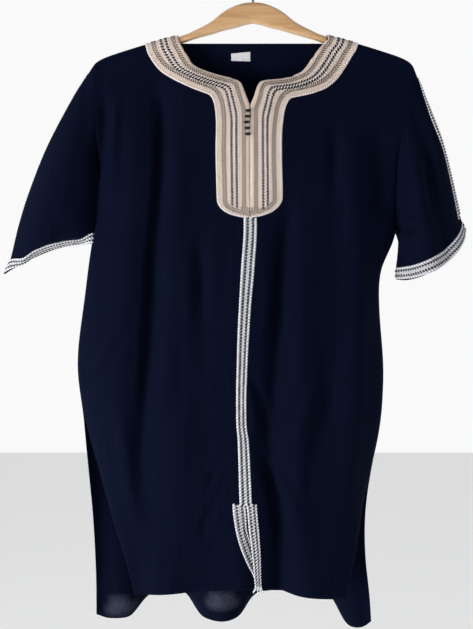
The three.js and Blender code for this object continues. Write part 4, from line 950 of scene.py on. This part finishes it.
border = on_cloth(*edge_path(1.7))
outer_bone = on_cloth(*edge_path(11.5))
sewn_together("neck_edge_cord", [stitch_row(
    "cord", *border, pale, 3.6, 4.4, 2.5, 2.0, slant=52, lift=0.8, seed=3)], "cream_braid", pale)
inner_bone = on_cloth(*share_path(40.2, -362))
foot_x = np.linspace(-0.0165, 0.0055, 30)
foot_bone = on_cloth(foot_x, drop_at(foot_x, np.full(30, -0.3652)))
bones = []
for name, path, width, seed in (("outer", outer_bone, 6.8, 11), ("inner", inner_bone, 6.4, 21),
                                ("foot", foot_bone, 4.6, 31)):
    bones += herringbone(name, path, brown, 3.2, width, seed)
sewn_together("neck_herringbone", bones, "cream_braid", brown)
twists = []
for number, (inwards, end) in enumerate(((22.7, -358.5), (29.4, -364))):
    spots, ups = on_cloth(*share_path(inwards, end))
    twists.append(stitch_row("twist", spots, ups, black, 4.4, 5.4, 2.9, 1.5, slant=46,
                             phase=0.5 * number, lift=1.25, seed=41 + number))
sewn_together("neck_twists", twists, "knot_thread", black)
# The pale rows beside the twists: millimetres in from the outer edge, z of the lower end, pitch,
# length and width of a stitch, slant and phase.
LOZENGES = [(25.0, -361, 4.4, 3.4, 2.3, 46, 0.6), (27.1, -362, 4.4, 3.4, 2.3, 46, 0.1),
            (32.6, -362, 3.2, 2.6, 2.0, 60, 0.0), (19.3, -358, 4.4, 2.8, 2.0, 55, 0.5)]
lozenges = []
for inwards, end, pitch, length, width, slant, phase in LOZENGES:
    spots, ups = on_cloth(*share_path(inwards, end))
    lozenges.append(stitch_row("lozenge", spots, ups, pale, pitch, length, width, 1.2,
                               slant=slant, phase=phase, lift=1.05, seed=51))
sewn_together("neck_lozenges", lozenges, "cream_braid", pale)

# ------------------------------------------------------------------ knots
# Five small knots of dark thread, wound over the two edges of the band, which close the
# slit below the neck.

KNOT_TURNS = 8
KNOT_THREAD = 0.00042
for number in range(1, 6):
    low_corner, high_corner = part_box(f"knot_{number}")
    middle, half_size = (low_corner + high_corner) / 2, (high_corner - low_corner) / 2
    t = np.linspace(0, 1, 150)
    swell = 0.82 * np.sqrt(np.clip(1 - (2 * t - 1) ** 2, 0.02, 1))
    turns = 2 * np.pi * KNOT_TURNS * t + number
    winding = np.stack([middle.x + half_size.x * (2 * t - 1) * 0.9,
                        middle.y + half_size.y * swell * np.cos(turns),
                        middle.z + half_size.z * swell * np.sin(turns)], -1)
    thread = linked("winding", tube("winding", winding, np.full(150, KNOT_THREAD), 6))
    t = np.linspace(-0.96, 0.96, 15)
    core = np.stack([middle.x + half_size.x * t, 0 * t + middle.y, 0 * t + middle.z], -1)
    body = linked("core", tube("core", core, 0.8 * half_size.y * np.sqrt(1 - t * t), 10))
    sewn_together(f"thread_knot_{number}", [thread, body], "knot_thread", black, f"knot_{number}")

# ------------------------------------------------------------------ label
# A short piece of blank white woven tape, sewn by its two ends inside the back of the neck,
# a little aslant, so that it stands off the cloth between them.

LABEL_X, LABEL_Z, LABEL_TILT = (-0.0315, -0.0035), (-0.1325, -0.1445), 0.0014
LABEL_THICK, LABEL_PUFF, LABEL_OFF = 0.0004, 0.0004, 0.0016
label_x, label_z = np.meshgrid(np.linspace(*LABEL_X, 21), np.linspace(*LABEL_Z, 9))
label_z += LABEL_TILT * np.linspace(-1, 1, 21) * np.linspace(1, -0.2, 9)[:, None]
spots, ups = seat(label_x, -drop_at(label_x, label_z))
puff = LABEL_PUFF * np.sin(np.linspace(0, np.pi, 21))[None, :, None]
spots = spots - ups * (LABEL_OFF + puff)
tape_white = silk("label_tape", (0.62, 0.6, 0.62), (0.78, 0.76, 0.78), 0.8)
faces = np.concatenate([spots, (spots + ups * LABEL_THICK)[:, ::-1]], 1)
label = linked("neck_label", grid_mesh("neck_label", faces, closed_columns=True, caps=True))
finished(label, "label_tape", tape_white, "label")

# ------------------------------------------------------------------ front and vent braid
# A narrow silver-white braid with two black twists. It covers the centre front seam from
# the bib to the vent, and two more lengths edge the vent down to the hem.

# In millimetres: z and x of the centre line, z and half-width of the braid on it, and z and
# the x of both edges of each vent braid.
CENTRE = np.array([
    (-215, -4.5), (-300, -4.7), (-377, -4.6), (-389, -4.4), (-446, -7.8), (-503, -12),
    (-541, -14.2), (-579, -15.8), (-635, -17.2), (-665, -17), (-691, -14.4), (-729, -12.8),
    (-777, -11)])[::-1] * 0.001
STRIP_HALF = np.array([
    (-380, 9.3), (-446, 9.4), (-503, 8.4), (-541, 8), (-579, 7.4), (-665, 6.9), (-700, 7.8),
    (-777, 8.6)])[::-1] * 0.001
VENT_STRIPS = {
    "left": [(-779, -29.6, -11.4), (-789, -29, -10), (-800, -27.6, -9.4), (-814, -25.4, -8.6),
             (-830, -21.6, -4.4), (-847, -16, 1.4), (-865, -8.4, 9.3), (-882, 0, 15),
             (-897, 3.6, 18)],
    "right": [(-779, -10.4, 4.6), (-789, -8.7, 5), (-800, -7.9, 6), (-814, -6.7, 7.4),
              (-830, -4.5, 8.6), (-847, -2.4, 9.6), (-865, -0.4, 10), (-882, 1, 10.2),
              (-897, 2.8, 10.8)]}
STRIP_TOP, STRIP_FOOT = -0.3785, -0.7785
BRAID_ACROSS = 13
silver = silk("silver_braid", (0.26, 0.26, 0.28), (0.4, 0.4, 0.43))
silver_thread = silk("silver_thread", (0.62, 0.62, 0.65), (0.85, 0.85, 0.88))
# The rows of the braid: place across it from -1 to 1, phase, length, width, slant, and
# whether the thread is black.
BRAID_ROWS = [
    (-0.80, 0.0, 4.6, 3.4, -36, False), (-0.40, 0.0, 5.2, 3.0, -46, True),
    (-0.11, 0.55, 3.6, 2.2, -46, False), (0.13, 0.05, 3.6, 2.2, -46, False),
    (0.42, 0.5, 5.2, 3.0, -46, True), (0.80, 0.3, 4.6, 3.4, -36, False)]
BRAID_PITCH = 4.3


def braid(name, spots, ups, *nodes, ring=False, scale=1.0):
    """A length of the narrow braid on a grid of places whose columns run across it."""
    tape = ribbon(name, spots, ups, rounded(BRAID_ACROSS, 0.0009, 0.12), ring=ring)
    finished(linked(name, tape), "silver_braid", silver, *nodes)
    light, dark = [], []
    for number, (across, phase, length, width, slant, is_black) in enumerate(BRAID_ROWS):
        column = (across + 1) / 2 * (BRAID_ACROSS - 1)
        line, up = read_across(spots, column), read_across(ups, column)
        if ring:
            line, up = np.concatenate([line, line[:1]]), np.concatenate([up, up[:1]])
        rows, thread, height, lift = (
            (dark, black, 1.4, 1.05) if is_black else (light, silver_thread, 1.5, 0.8))
        rows.append(stitch_row("row", line, unit(up), thread, BRAID_PITCH, length * scale,
                               width * scale, height, slant=slant, phase=phase, lift=lift,
                               seed=number))
    sewn_together(name + "_light", light, "silver_braid", silver_thread)
    sewn_together(name + "_dark", dark, "silver_braid", black)


z = np.linspace(STRIP_TOP, STRIP_FOOT, 240)
across = np.linspace(-1, 1, BRAID_ACROSS)
x = line_at(CENTRE, z)[:, None] + line_at(STRIP_HALF, z)[:, None] * across
spots, ups = seat(x, drop_at(x, np.repeat(z[:, None], BRAID_ACROSS, 1)))
braid("front_braid", calm(spots), unit(calm(ups, 4)), "front_strip")
for side, rows in VENT_STRIPS.items():
    rows = np.array(rows)[::-1] * 0.001
    z = np.linspace(rows[-1, 0], rows[0, 0], 80)
    ends = np.sort(glide(rows[:, 0], rows[:, 1:], z), axis=1)
    x = ends[:, :1] + (ends[:, 1:] - ends[:, :1]) * np.linspace(0, 1, BRAID_ACROSS)
    skin, spots, ups = skins["front_" + side], [], []
    for px, pz in zip(x.ravel(), np.repeat(z, BRAID_ACROSS)):
        place = skin.ray_cast(Vector((px, -0.3, pz)), Vector((0, 1, 0)), 0.4)
        if place[0] is None:
            place = skin.find_nearest(Vector((px, -0.04, pz)))
        spots.append(place[0])
        ups.append(place[1] if place[1].y < 0 else -place[1])
    spots = np.array(spots).reshape(-1, BRAID_ACROSS, 3)
    ups = np.array(ups).reshape(-1, BRAID_ACROSS, 3)
    braid("vent_braid_" + side, calm(spots), unit(calm(ups, 4)), "vent_strip_" + side, scale=0.84)
# The loose thread ends at the foot of the right vent braid, in millimetres: place across it,
# drift to the right, and length below it.
FRAY = [(-7.5, -3.0, 7.5), (-5, -4.5, 9), (-2.5, 0.8, 10.5), (0, -1.5, 8), (2.2, 1.8, 10),
        (4.4, 0.4, 7), (6.2, 3.4, 8.5)]
end_x, end_y, end_z = spots[-1, 6] + ups[-1, 6] * 0.0009
t = np.linspace(0, 1, 9)
fray = []
for start, drift, drop in FRAY:
    path = np.stack([end_x + 0.001 * (start * 0.6 + drift * t ** 1.5),
                     end_y - 0.0012 * np.sin(3 * t) + 0 * t, end_z + 0.004 - 0.001 * drop * t], -1)
    fray.append(linked("fray", tube("fray", path, np.full(9, 0.00055), 6)))
sewn_together("vent_fray", fray, "silver_braid", silver_thread)

# ------------------------------------------------------------------ cuff and overarm braid
# The same braid once round the edge of each cuff, and one more length from the armhole
# down the top of each sleeve to the cuff.


def sleeve_rings(name):
    """The sleeve's own points, ring by ring from the cuff up, each starting at the overarm."""
    mesh = outer_skin(name)
    points = coordinates(mesh)
    beside = {}
    for edge in mesh.edges:
        a, b = edge.vertices
        beside.setdefault(a, set()).add(b)
        beside.setdefault(b, set()).add(a)
    rim = open_edges(mesh)
    nexts = {}
    for a, b in rim.tolist():
        nexts.setdefault(a, []).append(b)
        nexts.setdefault(b, []).append(a)
    loops, left = [], set(nexts)
    while left:
        first = min(left)
        loop = [first]
        left.discard(first)
        while True:
            ahead = [v for v in nexts[loop[-1]] if v in left]
            if not ahead:
                break
            loop.append(ahead[0])
            left.discard(ahead[0])
        loops.append(loop)
    cuff = min(loops, key=lambda loop: points[loop, 2].mean())
    outwards = -1 if name.endswith("left") else 1
    top = max(range(len(cuff)),
              key=lambda k: points[cuff[k], 2] * 0.3 + outwards * points[cuff[k], 0])
    cuff = cuff[top:] + cuff[:top]
    if points[cuff[1], 1] > points[cuff[-1], 1]:
        cuff = cuff[:1] + cuff[:0:-1]
    rings, seen = [cuff], set(cuff)
    while True:
        ring = []
        for v in rings[-1]:
            onwards = [w for w in beside[v] if w not in seen]
            if not onwards:
                return points[np.array(rings)]
            ring.append(onwards[0])
        seen |= set(ring)
        rings.append(ring)


def on_sleeve(name, guesses):
    """The places on the sleeve nearest to those given on its CAD wall, and its directions."""
    flat = guesses.reshape(-1, 3)
    if name == "sleeve_left":
        flat = curled(flat)
    places = [skins[name].find_nearest(Vector(guess)) for guess in flat]
    return (np.array([place[0] for place in places]).reshape(guesses.shape),
            np.array([place[1] for place in places]).reshape(guesses.shape))


# Where the overarm braid lies: metres round the sleeve from its top fold, the back negative.
OVERARM = {"left": (-0.0125, 0.0025), "right": (-0.0045, 0.0125)}
# The right one starts this much further back at the shoulder.
STARTS_BACK = 0.010
SLEEVE_BRAID_SCALE = 0.86
for side in ("left", "right"):
    rings = sleeve_rings("sleeve_" + side)
    count = rings.shape[1]
    lapped = np.concatenate([rings[:3, -3:], rings[:3], rings[:3, :4]], 1).transpose(1, 0, 2)
    loops = glide(np.arange(-3, count + 4), lapped, np.linspace(0, count, 261)[:-1])
    across = np.linspace(0.03, 2, BRAID_ACROSS)
    guesses = glide(np.arange(3), loops.transpose(1, 0, 2), across).transpose(1, 0, 2)
    spots, ups = on_sleeve("sleeve_" + side, guesses)
    braid("cuff_braid_" + side, spots, unit(ups), "cuff_trim_" + side, ring=True,
          scale=SLEEVE_BRAID_SCALE)
    columns = []
    for number, ring in enumerate(rings[3:-1][::-1]):
        row = np.concatenate([ring[-9:], ring[:9]])
        run = lengths_along(row)
        run -= (run[8] + run[9]) / 2
        back = STARTS_BACK * max(0, 1 - number / 2) if side == "right" else 0
        columns.append(glide(run, row, np.linspace(*OVERARM[side], BRAID_ACROSS) - back))
    down = np.linspace(0, len(columns) - 1, 130)
    guesses = glide(np.arange(len(columns)), np.array(columns), down)
    spots, ups = on_sleeve("sleeve_" + side, guesses)
    braid("overarm_braid_" + side, calm(spots), unit(calm(ups, 3)), "sleeve_strip_" + side,
          scale=SLEEVE_BRAID_SCALE)
